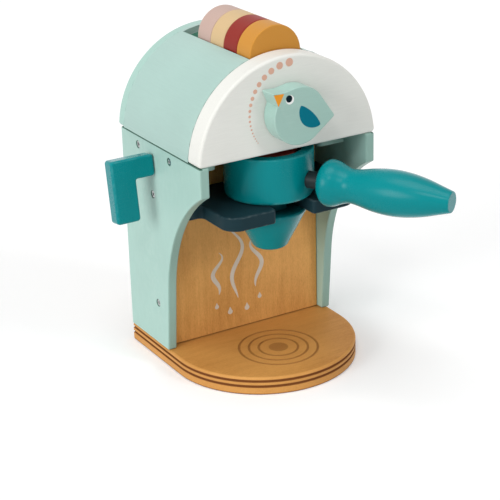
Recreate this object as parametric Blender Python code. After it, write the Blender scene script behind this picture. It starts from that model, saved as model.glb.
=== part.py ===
"""Toy coffee maker: a wooden espresso machine for pretend play.

Two thin side panels stand on a round-fronted base plate. Between them sit a stained back panel, a fork shelf
for the portafilter and a top board. A half-round dome with a slot for coffee pods closes the top.

Metres, +Z up. The machine faces -Y. The origin is on the surface that it stands on, on the mid-plane, straight
below the front face of the dome.
"""

from math import acos, asin, atan2, cos, pi, radians, sin, sqrt, tan

import bmesh
import bpy
from mathutils import Vector

# Clearances and edges
SEAT_GAP = 0.0003
CUT_OVERRUN = 0.004
WELD_DISTANCE = 0.00001
PANEL_EDGE = 0.0010
BOARD_EDGE = 0.0008
SHARP_ANGLE = radians(35)

# Body
BODY_WIDTH = 0.150
PANEL_THICKNESS = 0.0073
SEAM_Z = 0.1818
THROAT_CENTRE_Y = -0.0566
LIP_HEIGHT = 0.0225
THROAT_RADIUS = 0.1155
FOOT_LEAN = radians(5)

# Base plate
BASE_THICKNESS = 0.0143
BASE_SETBACK = 0.0007
BASE_CENTRE_Y = 0.0466
BASE_TOP_ROUND = 0.0020
BASE_FOOT_CHAMFER = 0.0006
GROOVE_WIDTH = 0.0019
GROOVE_DEPTH = 0.0012
GROOVE_DROP = 0.0031
GROOVE_PITCH = 0.0043
GROOVE_COUNT = 2
RING_CENTRE_Y = 0.0216
RING_PITCH = 0.0077
RING_COUNT = 3
RING_WIDTH = 0.0012
RING_DEPTH = 0.0003

# Coffee pods
POD_RADIUS = 0.0216
POD_THICKNESS = 0.0189
POD_SPACING = 0.0004
POD_EDGE = 0.0008
POD_PLACES = 5
POD_FIRST_GAP = 0.0013
POD_SIDE_ROOM = 0.0014
POD_ROW_ROOM = 0.0005
POD_PROUD = 0.0182

# Dome
DOME_OVERHANG = 0.0010
DOME_CENTRE_DROP = 0.0039
DOME_BACK_OVERHANG = 0.0030
FRONT_THICKNESS = 0.0162
REAR_THICKNESS = 0.0140
REAR_RIM = 0.0100
RIM_ROUND = 0.0020
RIM_BACK_ROUND = 0.0006
DOME_CORNER = 0.0030
SHELL_THICKNESS = 0.0040
SHELL_SETBACK = 0.0005
SHELL_SEAM = 0.0014
LIP_DEPTH = 0.0050
LIP_WIDTH = 0.0100
TRAY_FLOOR_THICKNESS = 0.0060
TRAY_WALL_THICKNESS = 0.0040

# Boards between the side panels
BACK_PANEL_Y = 0.0698
BACK_PANEL_THICKNESS = 0.0140
BOARD_THICKNESS = 0.0140
BOARD_FRONT_Y = 0.0300
BOARD_BACK_SETBACK = 0.0105
NOTCH_SIDE_ROOM = 0.0107
NOTCH_BACK_ROOM = 0.0052
NOTCH_CORNER = 0.0160
LUG_CORNER = 0.0035

# Fork shelf
FORK_DROP = 0.0405
FORK_THICKNESS = 0.0110
FORK_EDGE = 0.0012
FORK_FRONT_Y = -0.0065
FORK_SHOULDER_WIDTH = 0.0109
FORK_CORNER = 0.0130
FORK_SHOULDER_Y = 0.0340
FORK_SHOULDER_RADIUS = 0.0040
FORK_MOUTH_CORNER = 0.0030
NECK_ROOM = 0.0020

# Portafilter
CUP_RADIUS = 0.0343
CUP_BACK_ROOM = 0.0050
CUP_HEIGHT = 0.0357
CUP_FOOT_ROUND = 0.0030
CUP_RIM_ROUND = 0.0012
BOWL_DEPTH = 0.0211
BOWL_ROOM = 0.0035
NECK_RADIUS = 0.0140
TENON_RADIUS = 0.0090
TENON_HEIGHT = 0.0085
SPOUT_TOP_RADIUS = 0.0294
SPOUT_TIP_RADIUS = 0.0127
SPOUT_HEIGHT = 0.0325
SPOUT_TOP_ROUND = 0.0010
SPOUT_TIP_ROUND = 0.0050
HANDLE_AZIMUTH = radians(-60)
HANDLE_RISE = 0.0143
DOWEL_RADIUS = 0.0065
DOWEL_DEPTH_IN_CUP = 0.0065
DOWEL_DEPTH_IN_GRIP = 0.0120
GRIP_STANDOFF = 0.0092
GRIP_LENGTH = 0.1045
GRIP_RADIUS = 0.0176
GRIP_SHARES = (
    (0.000, 0.44),
    (0.013, 0.63),
    (0.032, 0.82),
    (0.056, 0.95),
    (0.087, 1.00),
    (0.135, 0.945),
    (0.188, 0.81),
    (0.238, 0.727),
    (0.305, 0.76),
    (0.434, 0.91),
    (0.559, 0.97),
    (0.678, 0.926),
    (0.795, 0.80),
    (0.908, 0.61),
    (0.992, 0.46),
    (1.000, 0.42),
)

# Bird knob
KNOB_RISE = 0.0304
KNOB_THICKNESS = 0.0150
KNOB_GAP = 0.0004
KNOB_EDGE = 0.0010
BIRD_RADIUS = 0.0216
BEAK_REACH = 0.0296
BEAK_ANGLE = radians(139)
BEAK_FOOT_ANGLE = radians(151)
TAIL_REACH = 0.0298
TAIL_ANGLE = radians(-9)

# Steam lever
LEVER_PIVOT_Y = 0.0777
LEVER_PIVOT_DROP = 0.0158
LEVER_GAP = 0.0005
LEVER_REACH = 0.0335
LEVER_THICKNESS = 0.0120
LEVER_ARM_HEIGHT = 0.0166
LEVER_BAR_WIDTH = 0.0171
LEVER_BAR_LENGTH = 0.0484
LEVER_EDGE = 0.0015
LEVER_INNER_CORNER = 0.0015
LEVER_TILT = radians(-6.66)

# Screws and pins
SCREW_HEAD_RADIUS = 0.0027
SCREW_SHANK_RADIUS = 0.0014
SCREW_CONE = 0.0022
SCREW_TIP = 0.0025
SCREW_SINK = 0.0002
SIDE_SCREW_LENGTH = 0.0220
BASE_SCREW_LENGTH = 0.0300
FORK_SCREW_LENGTH = 0.0320
KNOB_SCREW_LENGTH = 0.0260
LEVER_SCREW_LENGTH = 0.0200
BOARD_SCREW_INSET = 0.0175
PANEL_SCREW_DROP = 0.0271
PANEL_SCREW_RISE = 0.0360
FORK_SCREW_X = 0.0400
BASE_SCREW_INSET = 0.0120
BASE_SCREW_INSIDE = 0.0028
PIN_RADIUS = 0.0020
PIN_LENGTH = 0.0160
PIN_FRONT_INSET = 0.0080
PIN_BACK_INSET = 0.0045

# Fineness of the round shapes
ROUND_STEPS = 36
SMALL_STEPS = 12
POD_STEPS = 32
GRIP_STEPS = 20
DOME_STEPS = 36
THROAT_STEPS = 14
CORNER_STEPS = 2

# Places worked out from the sizes above
HALF_WIDTH = BODY_WIDTH / 2
INNER_HALF = HALF_WIDTH - PANEL_THICKNESS
PANEL_MIDDLE_X = HALF_WIDTH - PANEL_THICKNESS / 2
BOARD_HALF = INNER_HALF - SEAT_GAP
THROAT_CENTRE_Z = SEAM_Z - LIP_HEIGHT - sqrt(THROAT_RADIUS**2 - THROAT_CENTRE_Y**2)
POD_PITCH = POD_THICKNESS + POD_SPACING
TRAY_LENGTH = POD_FIRST_GAP + POD_PLACES * POD_PITCH + POD_ROW_ROOM
DOME_DEPTH = FRONT_THICKNESS + TRAY_LENGTH + REAR_THICKNESS
BODY_BACK_Y = DOME_DEPTH - DOME_BACK_OVERHANG
DOME_RADIUS = HALF_WIDTH + DOME_OVERHANG
DOME_CENTRE_Z = SEAM_Z - DOME_CENTRE_DROP
DOME_FOOT_Z = SEAM_Z + SEAT_GAP
SHELL_RADIUS = DOME_RADIUS - SHELL_SETBACK
SHELL_BORE = SHELL_RADIUS - SHELL_THICKNESS
LEDGE_RADIUS = SHELL_BORE - SEAT_GAP
REAR_INNER_Y = DOME_DEPTH - REAR_THICKNESS
REAR_SHOULDER_Y = DOME_DEPTH - REAR_RIM
SLOT_HALF_WIDTH = POD_RADIUS + POD_SIDE_ROOM
TRAY_HALF_WIDTH = SLOT_HALF_WIDTH + TRAY_WALL_THICKNESS
POD_CENTRE_Z = DOME_CENTRE_Z + DOME_RADIUS + POD_PROUD - POD_RADIUS
TRAY_FLOOR_Z = POD_CENTRE_Z - POD_RADIUS - SEAT_GAP
BASE_SEAT_Z = BASE_THICKNESS + SEAT_GAP
BOARD_TOP_Z = SEAM_Z - SEAT_GAP
BOARD_BOTTOM_Z = BOARD_TOP_Z - BOARD_THICKNESS
BOARD_BACK_Y = BODY_BACK_Y - BOARD_BACK_SETBACK
BACK_PANEL_REAR_Y = BACK_PANEL_Y + BACK_PANEL_THICKNESS
FORK_TOP_Z = SEAM_Z - FORK_DROP
FORK_HALF_WIDTH = BOARD_HALF - FORK_SHOULDER_WIDTH
FORK_BACK_Y = BACK_PANEL_Y - SEAT_GAP
FORK_BOTTOM_Z = FORK_TOP_Z - FORK_THICKNESS
FORK_SLOT_HALF = NECK_RADIUS + NECK_ROOM
CUP_FOOT_Z = FORK_TOP_Z + SEAT_GAP
CUP_AXIS_Y = BACK_PANEL_Y - CUP_BACK_ROOM - CUP_RADIUS
NOTCH_HALF_WIDTH = CUP_RADIUS + NOTCH_SIDE_ROOM
NOTCH_BACK_Y = CUP_AXIS_Y + CUP_RADIUS + NOTCH_BACK_ROOM
BOWL_RADIUS = POD_RADIUS + BOWL_ROOM
BOWL_FLOOR = CUP_HEIGHT - BOWL_DEPTH
GRIP_START = CUP_RADIUS + GRIP_STANDOFF
KNOB_Z = SEAM_Z + KNOB_RISE
LEVER_PIVOT_Z = SEAM_Z - LEVER_PIVOT_DROP


# Outlines


def arc(centre, radius, start, end, steps):
    """Points along an arc, both ends included."""
    turn = (end - start) / steps
    return [
        (centre[0] + radius * cos(start + turn * i), centre[1] + radius * sin(start + turn * i))
        for i in range(steps + 1)
    ]


def filleted(corners, steps=CORNER_STEPS):
    """Closed outline through (a, b, radius) corners, each rounded to its own radius."""
    outline = []
    for i, (a, b, radius) in enumerate(corners):
        if not radius:
            outline.append((a, b))
            continue
        here = Vector((a, b))
        before = (Vector(corners[i - 1][:2]) - here).normalized()
        after = (Vector(corners[(i + 1) % len(corners)][:2]) - here).normalized()
        half = before.angle(after) / 2
        centre = here + (before + after).normalized() * radius / sin(half)
        first = here + before * radius / tan(half) - centre
        last = here + after * radius / tan(half) - centre
        start = atan2(first.y, first.x)
        turn = (atan2(last.y, last.x) - start + pi) % (2 * pi) - pi
        outline += arc(centre, radius, start, start + turn, steps)
    return outline


def sharp(points):
    """Corners without a radius."""
    return [(a, b, 0) for a, b in points]


def mirrored(half):
    """Corners of a symmetric outline from those of its right half."""
    return half + [(-a, b, radius) for a, b, radius in reversed(half)]


def smooth_through(stations, steps_between):
    """Catmull-Rom points through (a, b) stations."""
    last = len(stations) - 1
    points = []
    for i in range(last):
        around = [stations[min(max(i + k, 0), last)] for k in (-1, 0, 1, 2)]
        for step in range(steps_between):
            t = step / steps_between
            points.append(tuple(catmull_rom(t, *values) for values in zip(*around)))
    return points + [stations[-1]]


def catmull_rom(t, before, start, end, after):
    """Value between start and end at a share t of the way."""
    slope = end - before
    bend = 2 * before - 5 * start + 4 * end - after
    twist = 3 * start - before - 3 * end + after
    return (2 * start + slope * t + bend * t**2 + twist * t**3) / 2


# Solids


def add_object(name, shape, material, place=(0, 0, 0), parent=None):
    """Object from a bmesh whose faces are turned outward, shaded smooth up to the sharp angle."""
    bmesh.ops.recalc_face_normals(shape, faces=shape.faces)
    mesh = bpy.data.meshes.new(name)
    shape.to_mesh(mesh)
    shape.free()
    mesh.shade_smooth()
    mesh.set_sharp_from_angle(angle=SHARP_ANGLE)
    if material:
        mesh.materials.append(material)
    piece = bpy.data.objects.new(name, mesh)
    piece.location = place
    piece.parent = parent
    bpy.context.collection.objects.link(piece)
    return piece


def pivot(name, place, tilt=(0, 0, 0)):
    """Empty on a moving piece's axis, which carries the piece."""
    empty = bpy.data.objects.new(name, None)
    empty.location = place
    empty.rotation_euler = tilt
    bpy.context.collection.objects.link(empty)
    return empty


def slab(name, outline, start, depth, axis, material, parent=None):
    """Board with its outline in the plane across an axis, placed and extruded along that axis."""
    along_axis = {
        "X": lambda a, b, along: (along, a, b),
        "Y": lambda a, b, along: (a, along, b),
        "Z": lambda a, b, along: (a, b, along),
    }[axis]
    shape = bmesh.new()
    face = shape.faces.new([shape.verts.new(along_axis(a, b, 0)) for a, b in outline])
    grown = bmesh.ops.extrude_face_region(shape, geom=[face])["geom"]
    far_side = [item for item in grown if isinstance(item, bmesh.types.BMVert)]
    bmesh.ops.translate(shape, verts=far_side, vec=along_axis(0, 0, depth))
    return add_object(name, shape, material, along_axis(0, 0, start), parent)


def loft(name, rings, material):
    """Solid skinned through rings of equally many points and closed at both ends."""
    shape = bmesh.new()
    loops = [[shape.verts.new(point) for point in ring] for ring in rings]
    for lower, upper in zip(loops, loops[1:]):
        for i in range(len(lower)):
            shape.faces.new((lower[i - 1], lower[i], upper[i], upper[i - 1]))
    shape.faces.new(loops[0])
    shape.faces.new(loops[-1])
    return add_object(name, shape, material)


def turned(name, profile, steps, material, place=(0, 0, 0), up=(0, 0, 1), parent=None, closed=False):
    """Solid of revolution: a (radius, height) profile spun round its axis, which it meets unless it's closed."""
    shape = bmesh.new()
    points = [shape.verts.new((radius, 0, height)) for radius, height in profile]
    edges = [shape.edges.new(pair) for pair in zip(points, points[1:])]
    if closed:
        edges.append(shape.edges.new((points[-1], points[0])))
    bmesh.ops.spin(
        shape,
        geom=points + edges,
        cent=(0, 0, 0),
        axis=(0, 0, 1),
        angle=2 * pi,
        steps=steps,
        use_merge=True,
    )
    bmesh.ops.remove_doubles(shape, verts=shape.verts, dist=WELD_DISTANCE)
    piece = add_object(name, shape, material, place, parent)
    piece.rotation_euler = Vector(up).to_track_quat("Z", "Y").to_euler()
    return piece


def round_edges(piece, width, segments):
    """Rounds a board's sharp edges in a few steps; one step makes a small chamfer."""
    bevel = piece.modifiers.new("rounded edges", "BEVEL")
    bevel.width = width
    bevel.segments = segments
    bevel.limit_method = "ANGLE"
    bevel.angle_limit = SHARP_ANGLE


def change_by(piece, tool, operation):
    """Joins a tool to a piece or cuts it out of the piece."""
    change = piece.modifiers.new(tool.name, "BOOLEAN")
    change.operation = operation
    change.solver = "EXACT"
    change.object = tool
    tool.hide_render = True
    tool.display_type = "WIRE"


def paint(name, colour, roughness=0.45, metallic=0.0):
    """Principled material in an sRGB colour of 0 to 255."""
    material = bpy.data.materials.new(name)
    material.use_nodes = True
    shares = [value / 255 for value in colour]
    linear = [s / 12.92 if s <= 0.04045 else ((s + 0.055) / 1.055) ** 2.4 for s in shares]
    shader = material.node_tree.nodes["Principled BSDF"]
    shader.inputs["Base Color"].default_value = (*linear, 1)
    shader.inputs["Roughness"].default_value = roughness
    shader.inputs["Metallic"].default_value = metallic
    material.diffuse_color = (*linear, 1)
    return material


# Screws and pins


def screw_profile(length, room=0):
    """Half section of a countersunk screw from its tip to its head, grown by the room for a hole."""
    head = SCREW_HEAD_RADIUS + room
    shank = SCREW_SHANK_RADIUS + room
    profile = [
        (0, -length - room),
        (shank / 3, -length - room),
        (shank, SCREW_TIP - length),
        (shank, -SCREW_CONE),
        (head, 0),
    ]
    if room:
        profile += [(head, CUT_OVERRUN), (0, CUT_OVERRUN)]
    else:
        profile.append((0, 0))
    return profile


def screw(name, place, outward, length, sunk_into, material, parent=None):
    """Countersunk screw whose head faces outward, with its hole in each board that it goes through."""
    seat = Vector(place) - Vector(outward) * SCREW_SINK
    turned(name, screw_profile(length), SMALL_STEPS, material, seat, outward, parent)
    hole = turned(f"{name}_hole", screw_profile(length, SEAT_GAP), SMALL_STEPS, None, seat, outward, parent)
    for board in sunk_into:
        change_by(board, hole, "DIFFERENCE")


def rod_profile(radius, start, end):
    """Half section of a plain rod."""
    return [(0, start), (radius, start), (radius, end), (0, end)]


def pin(name, place, joined, material):
    """Short upright dowel pin with its hole in the two pieces that it joins."""
    half = PIN_LENGTH / 2
    room = half + SEAT_GAP
    turned(name, rod_profile(PIN_RADIUS, -half, half), SMALL_STEPS, material, place)
    hole = turned(f"{name}_hole", rod_profile(PIN_RADIUS + SEAT_GAP, -room, room), SMALL_STEPS, None, place)
    for piece in joined:
        change_by(piece, hole, "DIFFERENCE")


# Body


def side_outline():
    """Side panel in (y, z): upright back, overhanging head, and a hollow throat that leans into the foot."""
    lip_angle = acos(-THROAT_CENTRE_Y / THROAT_RADIUS)
    throat = arc((THROAT_CENTRE_Y, THROAT_CENTRE_Z), THROAT_RADIUS, lip_angle, FOOT_LEAN, THROAT_STEPS)
    back = [(BODY_BACK_Y, BASE_SEAT_Z), (BODY_BACK_Y, SEAM_Z)]
    return [(0, SEAM_Z), *throat, (foot_front(), BASE_SEAT_Z), *back]


def foot_front():
    """Front of the side panels' feet, where the throat's lower tangent meets the base plate."""
    tangent_y = THROAT_CENTRE_Y + THROAT_RADIUS * cos(FOOT_LEAN)
    tangent_z = THROAT_CENTRE_Z + THROAT_RADIUS * sin(FOOT_LEAN)
    return tangent_y + (tangent_z - BASE_SEAT_Z) * tan(FOOT_LEAN)


def side_panel(name, side, material):
    """Thin upright panel."""
    panel = slab(name, side_outline(), side * HALF_WIDTH, -side * PANEL_THICKNESS, "X", material)
    round_edges(panel, PANEL_EDGE, 1)
    return panel


def base_levels():
    """(height, inset) pairs up the base plate's rim: foot chamfer, grooves and rounded top edge."""
    levels = [(0, BASE_FOOT_CHAMFER), (BASE_FOOT_CHAMFER, 0)]
    for i in reversed(range(GROOVE_COUNT)):
        middle = BASE_THICKNESS - GROOVE_DROP - i * GROOVE_PITCH
        levels += [
            (middle - GROOVE_WIDTH / 2, 0),
            (middle - GROOVE_WIDTH / 4, GROOVE_DEPTH),
            (middle + GROOVE_WIDTH / 4, GROOVE_DEPTH),
            (middle + GROOVE_WIDTH / 2, 0),
        ]
    top = (BASE_THICKNESS - BASE_TOP_ROUND, BASE_TOP_ROUND)
    return levels + arc(top, BASE_TOP_ROUND, -pi / 2, 0, CORNER_STEPS)


def engraved_ring(name, radius):
    """Tool for a shallow ring round the cup's place."""
    inner = radius - RING_WIDTH / 2
    outer = radius + RING_WIDTH / 2
    profile = [(inner, -RING_DEPTH), (outer, -RING_DEPTH), (outer, CUT_OVERRUN), (inner, CUT_OVERRUN)]
    return turned(name, profile, ROUND_STEPS, None, (0, RING_CENTRE_Y, BASE_THICKNESS), closed=True)


def base_plate(material):
    """Plate with a half-round front and straight sides, grooves round its rim and rings where a cup stands."""
    rings = []
    for z, inset in base_levels():
        radius = HALF_WIDTH - BASE_SETBACK - inset
        front = arc((0, BASE_CENTRE_Y), radius, pi, 2 * pi, ROUND_STEPS)
        rings.append([(x, y, z) for x, y in [(-radius, BODY_BACK_Y), *front, (radius, BODY_BACK_Y)]])
    plate = loft("base_plate", rings, material)
    for i in range(RING_COUNT):
        change_by(plate, engraved_ring(f"cup_ring_{i + 1}", (i + 2) * RING_PITCH), "DIFFERENCE")
    return plate


def back_panel(material):
    """Stained panel that closes the bay behind the cups."""
    top = BOARD_BOTTOM_Z - SEAT_GAP
    outline = [(-BOARD_HALF, BASE_SEAT_Z), (BOARD_HALF, BASE_SEAT_Z), (BOARD_HALF, top), (-BOARD_HALF, top)]
    panel = slab("back_panel", outline, BACK_PANEL_Y, BACK_PANEL_THICKNESS, "Y", material)
    round_edges(panel, BOARD_EDGE, 1)
    return panel


def top_board(material):
    """Board under the dome, with a round-cornered recess over the portafilter."""
    half = [
        (NOTCH_HALF_WIDTH, NOTCH_BACK_Y, NOTCH_CORNER),
        (NOTCH_HALF_WIDTH, BOARD_FRONT_Y, LUG_CORNER),
        (BOARD_HALF, BOARD_FRONT_Y, 0),
        (BOARD_HALF, BOARD_BACK_Y, 0),
    ]
    board = slab("top_board", filleted(mirrored(half), 2 * CORNER_STEPS), BOARD_BOTTOM_Z, BOARD_THICKNESS, "Z",
                 material)
    round_edges(board, BOARD_EDGE, 1)
    return board


def fork_shelf(material):
    """Shelf with a round-ended slot that holds the portafilter by its neck."""
    half = [
        (FORK_SLOT_HALF, FORK_FRONT_Y, FORK_MOUTH_CORNER),
        (FORK_HALF_WIDTH, FORK_FRONT_Y, FORK_CORNER),
        (FORK_HALF_WIDTH, FORK_SHOULDER_Y, FORK_SHOULDER_RADIUS),
        (BOARD_HALF, FORK_SHOULDER_Y, 0),
        (BOARD_HALF, FORK_BACK_Y, 0),
    ]
    slot_end = arc((0, CUP_AXIS_Y), FORK_SLOT_HALF, pi, 0, ROUND_STEPS // 3)
    outline = filleted(mirrored(half) + sharp(slot_end), 2 * CORNER_STEPS)
    shelf = slab("fork_shelf", outline, FORK_BOTTOM_Z, FORK_THICKNESS, "Z", material)
    round_edges(shelf, FORK_EDGE, 2)
    return shelf


# Dome


def dome_ring(inset, y):
    """Dome outline at a depth: a circle cut flat at its foot, with rounded corners, drawn in by an inset."""
    radius = DOME_RADIUS - inset
    rise = foot_angle(radius, DOME_FOOT_Z + inset)
    crown = sharp(arc((0, DOME_CENTRE_Z), radius, rise, pi - rise, DOME_STEPS))
    crown[0] = (*crown[0][:2], DOME_CORNER)
    crown[-1] = (*crown[-1][:2], DOME_CORNER)
    return [(x, y, z) for x, z in filleted(crown)]


def foot_angle(radius, z):
    """Angle at the dome's centre at which a circle comes down to a height."""
    return asin((z - DOME_CENTRE_Z) / radius)


def rounded_board_rings(start, end, start_round, end_round):
    """Rings of a half-round board between two depths, with both its edges rounded."""
    levels = arc((start + start_round, start_round), start_round, pi, 1.5 * pi, CORNER_STEPS)
    levels += arc((end - end_round, end_round), end_round, -pi / 2, 0, CORNER_STEPS)
    return [dome_ring(inset, y) for y, inset in levels]


def band(outer, inner, start, end, steps):
    """Outline in (x, z) of a band between two circles, from one (outer, inner) pair of angles to another."""
    outline = arc((0, DOME_CENTRE_Z), outer, start[0], end[0], steps)
    return outline + arc((0, DOME_CENTRE_Z), inner, end[1], start[1], steps)


def shell_rib(name, side):
    """Curved rib behind the dome's front panel that the shell lies on, between its foot and the pod tray."""
    inner = LEDGE_RADIUS - LIP_WIDTH
    tray_side = TRAY_HALF_WIDTH + SEAT_GAP
    start = (foot_angle(LEDGE_RADIUS, DOME_FOOT_Z), foot_angle(inner, DOME_FOOT_Z))
    end = (acos(tray_side / LEDGE_RADIUS), acos(tray_side / inner))
    outline = band(LEDGE_RADIUS, inner, start, end, DOME_STEPS // 4)
    outline = [(side * x, z) for x, z in outline]
    return slab(name, outline, FRONT_THICKNESS - CUT_OVERRUN, LIP_DEPTH + CUT_OVERRUN, "Y", None)


def dome_front_panel(material):
    """Thick half-round panel with a rounded rim, and with two ribs behind it for the shell."""
    rings = rounded_board_rings(0, FRONT_THICKNESS, RIM_ROUND, RIM_BACK_ROUND)
    panel = loft("dome_front_panel", rings, material)
    for side, word in ((-1, "left"), (1, "right")):
        change_by(panel, shell_rib(f"shell_rib_{word}", side), "UNION")
    return panel


def dome_back_panel(material):
    """Half-round panel with a step: the shell lies on its inner disc and ends against its rim."""
    rings = rounded_board_rings(REAR_SHOULDER_Y, DOME_DEPTH, RIM_BACK_ROUND, RIM_ROUND)
    panel = loft("dome_back_panel", rings, material)
    rise = foot_angle(LEDGE_RADIUS, DOME_FOOT_Z)
    outline = arc((0, DOME_CENTRE_Z), LEDGE_RADIUS, rise, pi - rise, DOME_STEPS)
    disc = slab("inner_disc", outline, REAR_INNER_Y, REAR_SHOULDER_Y + CUT_OVERRUN - REAR_INNER_Y, "Y", None)
    change_by(panel, disc, "UNION")
    return panel


def dome_shell(material):
    """Bent sheet between the panels, with the pod slot cut from its front edge."""
    front = FRONT_THICKNESS + SEAT_GAP
    back = REAR_SHOULDER_Y - SEAT_GAP
    foot_z = SEAM_Z + SHELL_SEAM
    start = (foot_angle(SHELL_RADIUS, foot_z), foot_angle(SHELL_BORE, foot_z))
    end = (pi - start[0], pi - start[1])
    outline = band(SHELL_RADIUS, SHELL_BORE, start, end, DOME_STEPS)
    shell = slab("dome_shell", outline, front, back - front, "Y", material)
    mouth = [
        (-SLOT_HALF_WIDTH, front - CUT_OVERRUN),
        (SLOT_HALF_WIDTH, front - CUT_OVERRUN),
        (SLOT_HALF_WIDTH, REAR_INNER_Y),
        (-SLOT_HALF_WIDTH, REAR_INNER_Y),
    ]
    change_by(shell, slab("pod_slot", mouth, TRAY_FLOOR_Z, SHELL_RADIUS, "Z", None), "DIFFERENCE")
    return shell


def pod_tray(material):
    """Floor and two walls that hold the pods in a row under the slot."""
    front = FRONT_THICKNESS + SEAT_GAP
    length = REAR_INNER_Y - SEAT_GAP - front
    bottom = TRAY_FLOOR_Z - TRAY_FLOOR_THICKNESS
    floor = [
        (-TRAY_HALF_WIDTH, bottom),
        (TRAY_HALF_WIDTH, bottom),
        (TRAY_HALF_WIDTH, TRAY_FLOOR_Z),
        (-TRAY_HALF_WIDTH, TRAY_FLOOR_Z),
    ]
    slab("tray_floor", floor, front, length, "Y", material)
    foot_z = TRAY_FLOOR_Z + SEAT_GAP
    inner_top = DOME_CENTRE_Z + sqrt(LEDGE_RADIUS**2 - SLOT_HALF_WIDTH**2)
    outer_top = DOME_CENTRE_Z + sqrt(LEDGE_RADIUS**2 - TRAY_HALF_WIDTH**2)
    for side, word in ((-1, "left"), (1, "right")):
        wall = [
            (side * SLOT_HALF_WIDTH, foot_z),
            (side * TRAY_HALF_WIDTH, foot_z),
            (side * TRAY_HALF_WIDTH, outer_top),
            (side * SLOT_HALF_WIDTH, inner_top),
        ]
        slab(f"tray_wall_{word}", wall, front, length, "Y", material)


# Moving pieces


def pod(name, place, up, material, parent=None):
    """Coffee pod: a thick disc with rounded edges."""
    half = POD_THICKNESS / 2
    profile = filleted(
        [(0, -half, 0), (POD_RADIUS, -half, POD_EDGE), (POD_RADIUS, half, POD_EDGE), (0, half, 0)], 1
    )
    return turned(name, profile, POD_STEPS, material, place, up, parent)


def pods_in_tray(materials):
    """Pods that stand in a row in the tray; the last place stays free."""
    for i, (word, material) in enumerate(materials):
        middle = FRONT_THICKNESS + POD_FIRST_GAP + i * POD_PITCH + POD_THICKNESS / 2
        pod(f"pod_{word}", (0, middle, POD_CENTRE_Z), (0, 1, 0), material)


def portafilter(cup_material, dowel_material, pod_material):
    """Cup with a bowl for a pod, a conical spout joined through the fork's slot, and a turned handle."""
    holder = pivot("portafilter", (0, CUP_AXIS_Y, CUP_FOOT_Z))
    bore = TENON_RADIUS + SEAT_GAP
    bore_top = TENON_HEIGHT + SEAT_GAP
    cup_profile = filleted(
        [
            (0, bore_top, 0),
            (bore, bore_top, 0),
            (bore, 0, 0),
            (CUP_RADIUS, 0, CUP_FOOT_ROUND),
            (CUP_RADIUS, CUP_HEIGHT, CUP_RIM_ROUND),
            (BOWL_RADIUS, CUP_HEIGHT, CUP_RIM_ROUND),
            (BOWL_RADIUS, BOWL_FLOOR, 0),
            (0, BOWL_FLOOR, 0),
        ]
    )
    cup = turned("portafilter_cup", cup_profile, ROUND_STEPS, cup_material, parent=holder)

    neck_foot = -FORK_THICKNESS - 2 * SEAT_GAP
    tip = neck_foot - SPOUT_HEIGHT
    spout_profile = filleted(
        [
            (0, tip, 0),
            (SPOUT_TIP_RADIUS, tip, SPOUT_TIP_ROUND),
            (SPOUT_TOP_RADIUS, neck_foot, SPOUT_TOP_ROUND),
            (NECK_RADIUS, neck_foot, 0),
            (NECK_RADIUS, -SEAT_GAP, 0),
            (TENON_RADIUS, -SEAT_GAP, 0),
            (TENON_RADIUS, TENON_HEIGHT, 0),
            (0, TENON_HEIGHT, 0),
        ]
    )
    turned("portafilter_spout", spout_profile, ROUND_STEPS, cup_material, parent=holder)

    outward = (cos(HANDLE_AZIMUTH), sin(HANDLE_AZIMUTH), 0)
    axis_start = (0, 0, HANDLE_RISE)
    dowel_start = CUP_RADIUS - DOWEL_DEPTH_IN_CUP
    dowel_end = GRIP_START + DOWEL_DEPTH_IN_GRIP
    turned("handle_dowel", rod_profile(DOWEL_RADIUS, dowel_start, dowel_end), 2 * SMALL_STEPS, dowel_material,
           axis_start, outward, holder)
    room = DOWEL_RADIUS + SEAT_GAP
    hole = turned("dowel_hole", rod_profile(room, dowel_start - SEAT_GAP, GRIP_START), 2 * SMALL_STEPS, None,
                  axis_start, outward, holder)
    change_by(cup, hole, "DIFFERENCE")

    stations = [(radius * GRIP_RADIUS, GRIP_START + along * GRIP_LENGTH) for along, radius in GRIP_SHARES]
    socket_end = dowel_end + SEAT_GAP
    grip_profile = [(0, socket_end), (room, socket_end), (room, GRIP_START), *smooth_through(stations, 2)]
    grip_profile.append((0, GRIP_START + GRIP_LENGTH))
    turned("handle_grip", grip_profile, GRIP_STEPS, cup_material, axis_start, outward, holder)

    pod_place = (0, 0, BOWL_FLOOR + SEAT_GAP + POD_THICKNESS / 2)
    pod("pod_rust", pod_place, (0, 0, 1), pod_material, holder)


def bird_outline():
    """Bird in (x, z): a round body, a beak whose top runs on from the head, and a pointed tail."""
    beak_tangent = BEAK_ANGLE - acos(BIRD_RADIUS / BEAK_REACH)
    tail_spread = acos(BIRD_RADIUS / TAIL_REACH)
    tail = (TAIL_REACH * cos(TAIL_ANGLE), TAIL_REACH * sin(TAIL_ANGLE))
    beak = (BEAK_REACH * cos(BEAK_ANGLE), BEAK_REACH * sin(BEAK_ANGLE))
    back = arc((0, 0), BIRD_RADIUS, TAIL_ANGLE + tail_spread, beak_tangent, ROUND_STEPS // 4)
    belly = arc((0, 0), BIRD_RADIUS, BEAK_FOOT_ANGLE, 2 * pi + TAIL_ANGLE - tail_spread, ROUND_STEPS // 2)
    return [tail, *back, beak, *belly]


def bird_knob(front_panel, material, screw_material):
    """Bird-shaped knob that turns on a screw put in from behind the dome's front panel."""
    centre = pivot("knob", (0, 0, KNOB_Z))
    front = -KNOB_GAP - KNOB_THICKNESS
    knob = slab("bird_knob", bird_outline(), front, KNOB_THICKNESS, "Y", material, centre)
    round_edges(knob, KNOB_EDGE, 1)
    screw("knob_screw", (0, FRONT_THICKNESS, 0), (0, 1, 0), KNOB_SCREW_LENGTH, (front_panel, knob), screw_material,
          centre)


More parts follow.
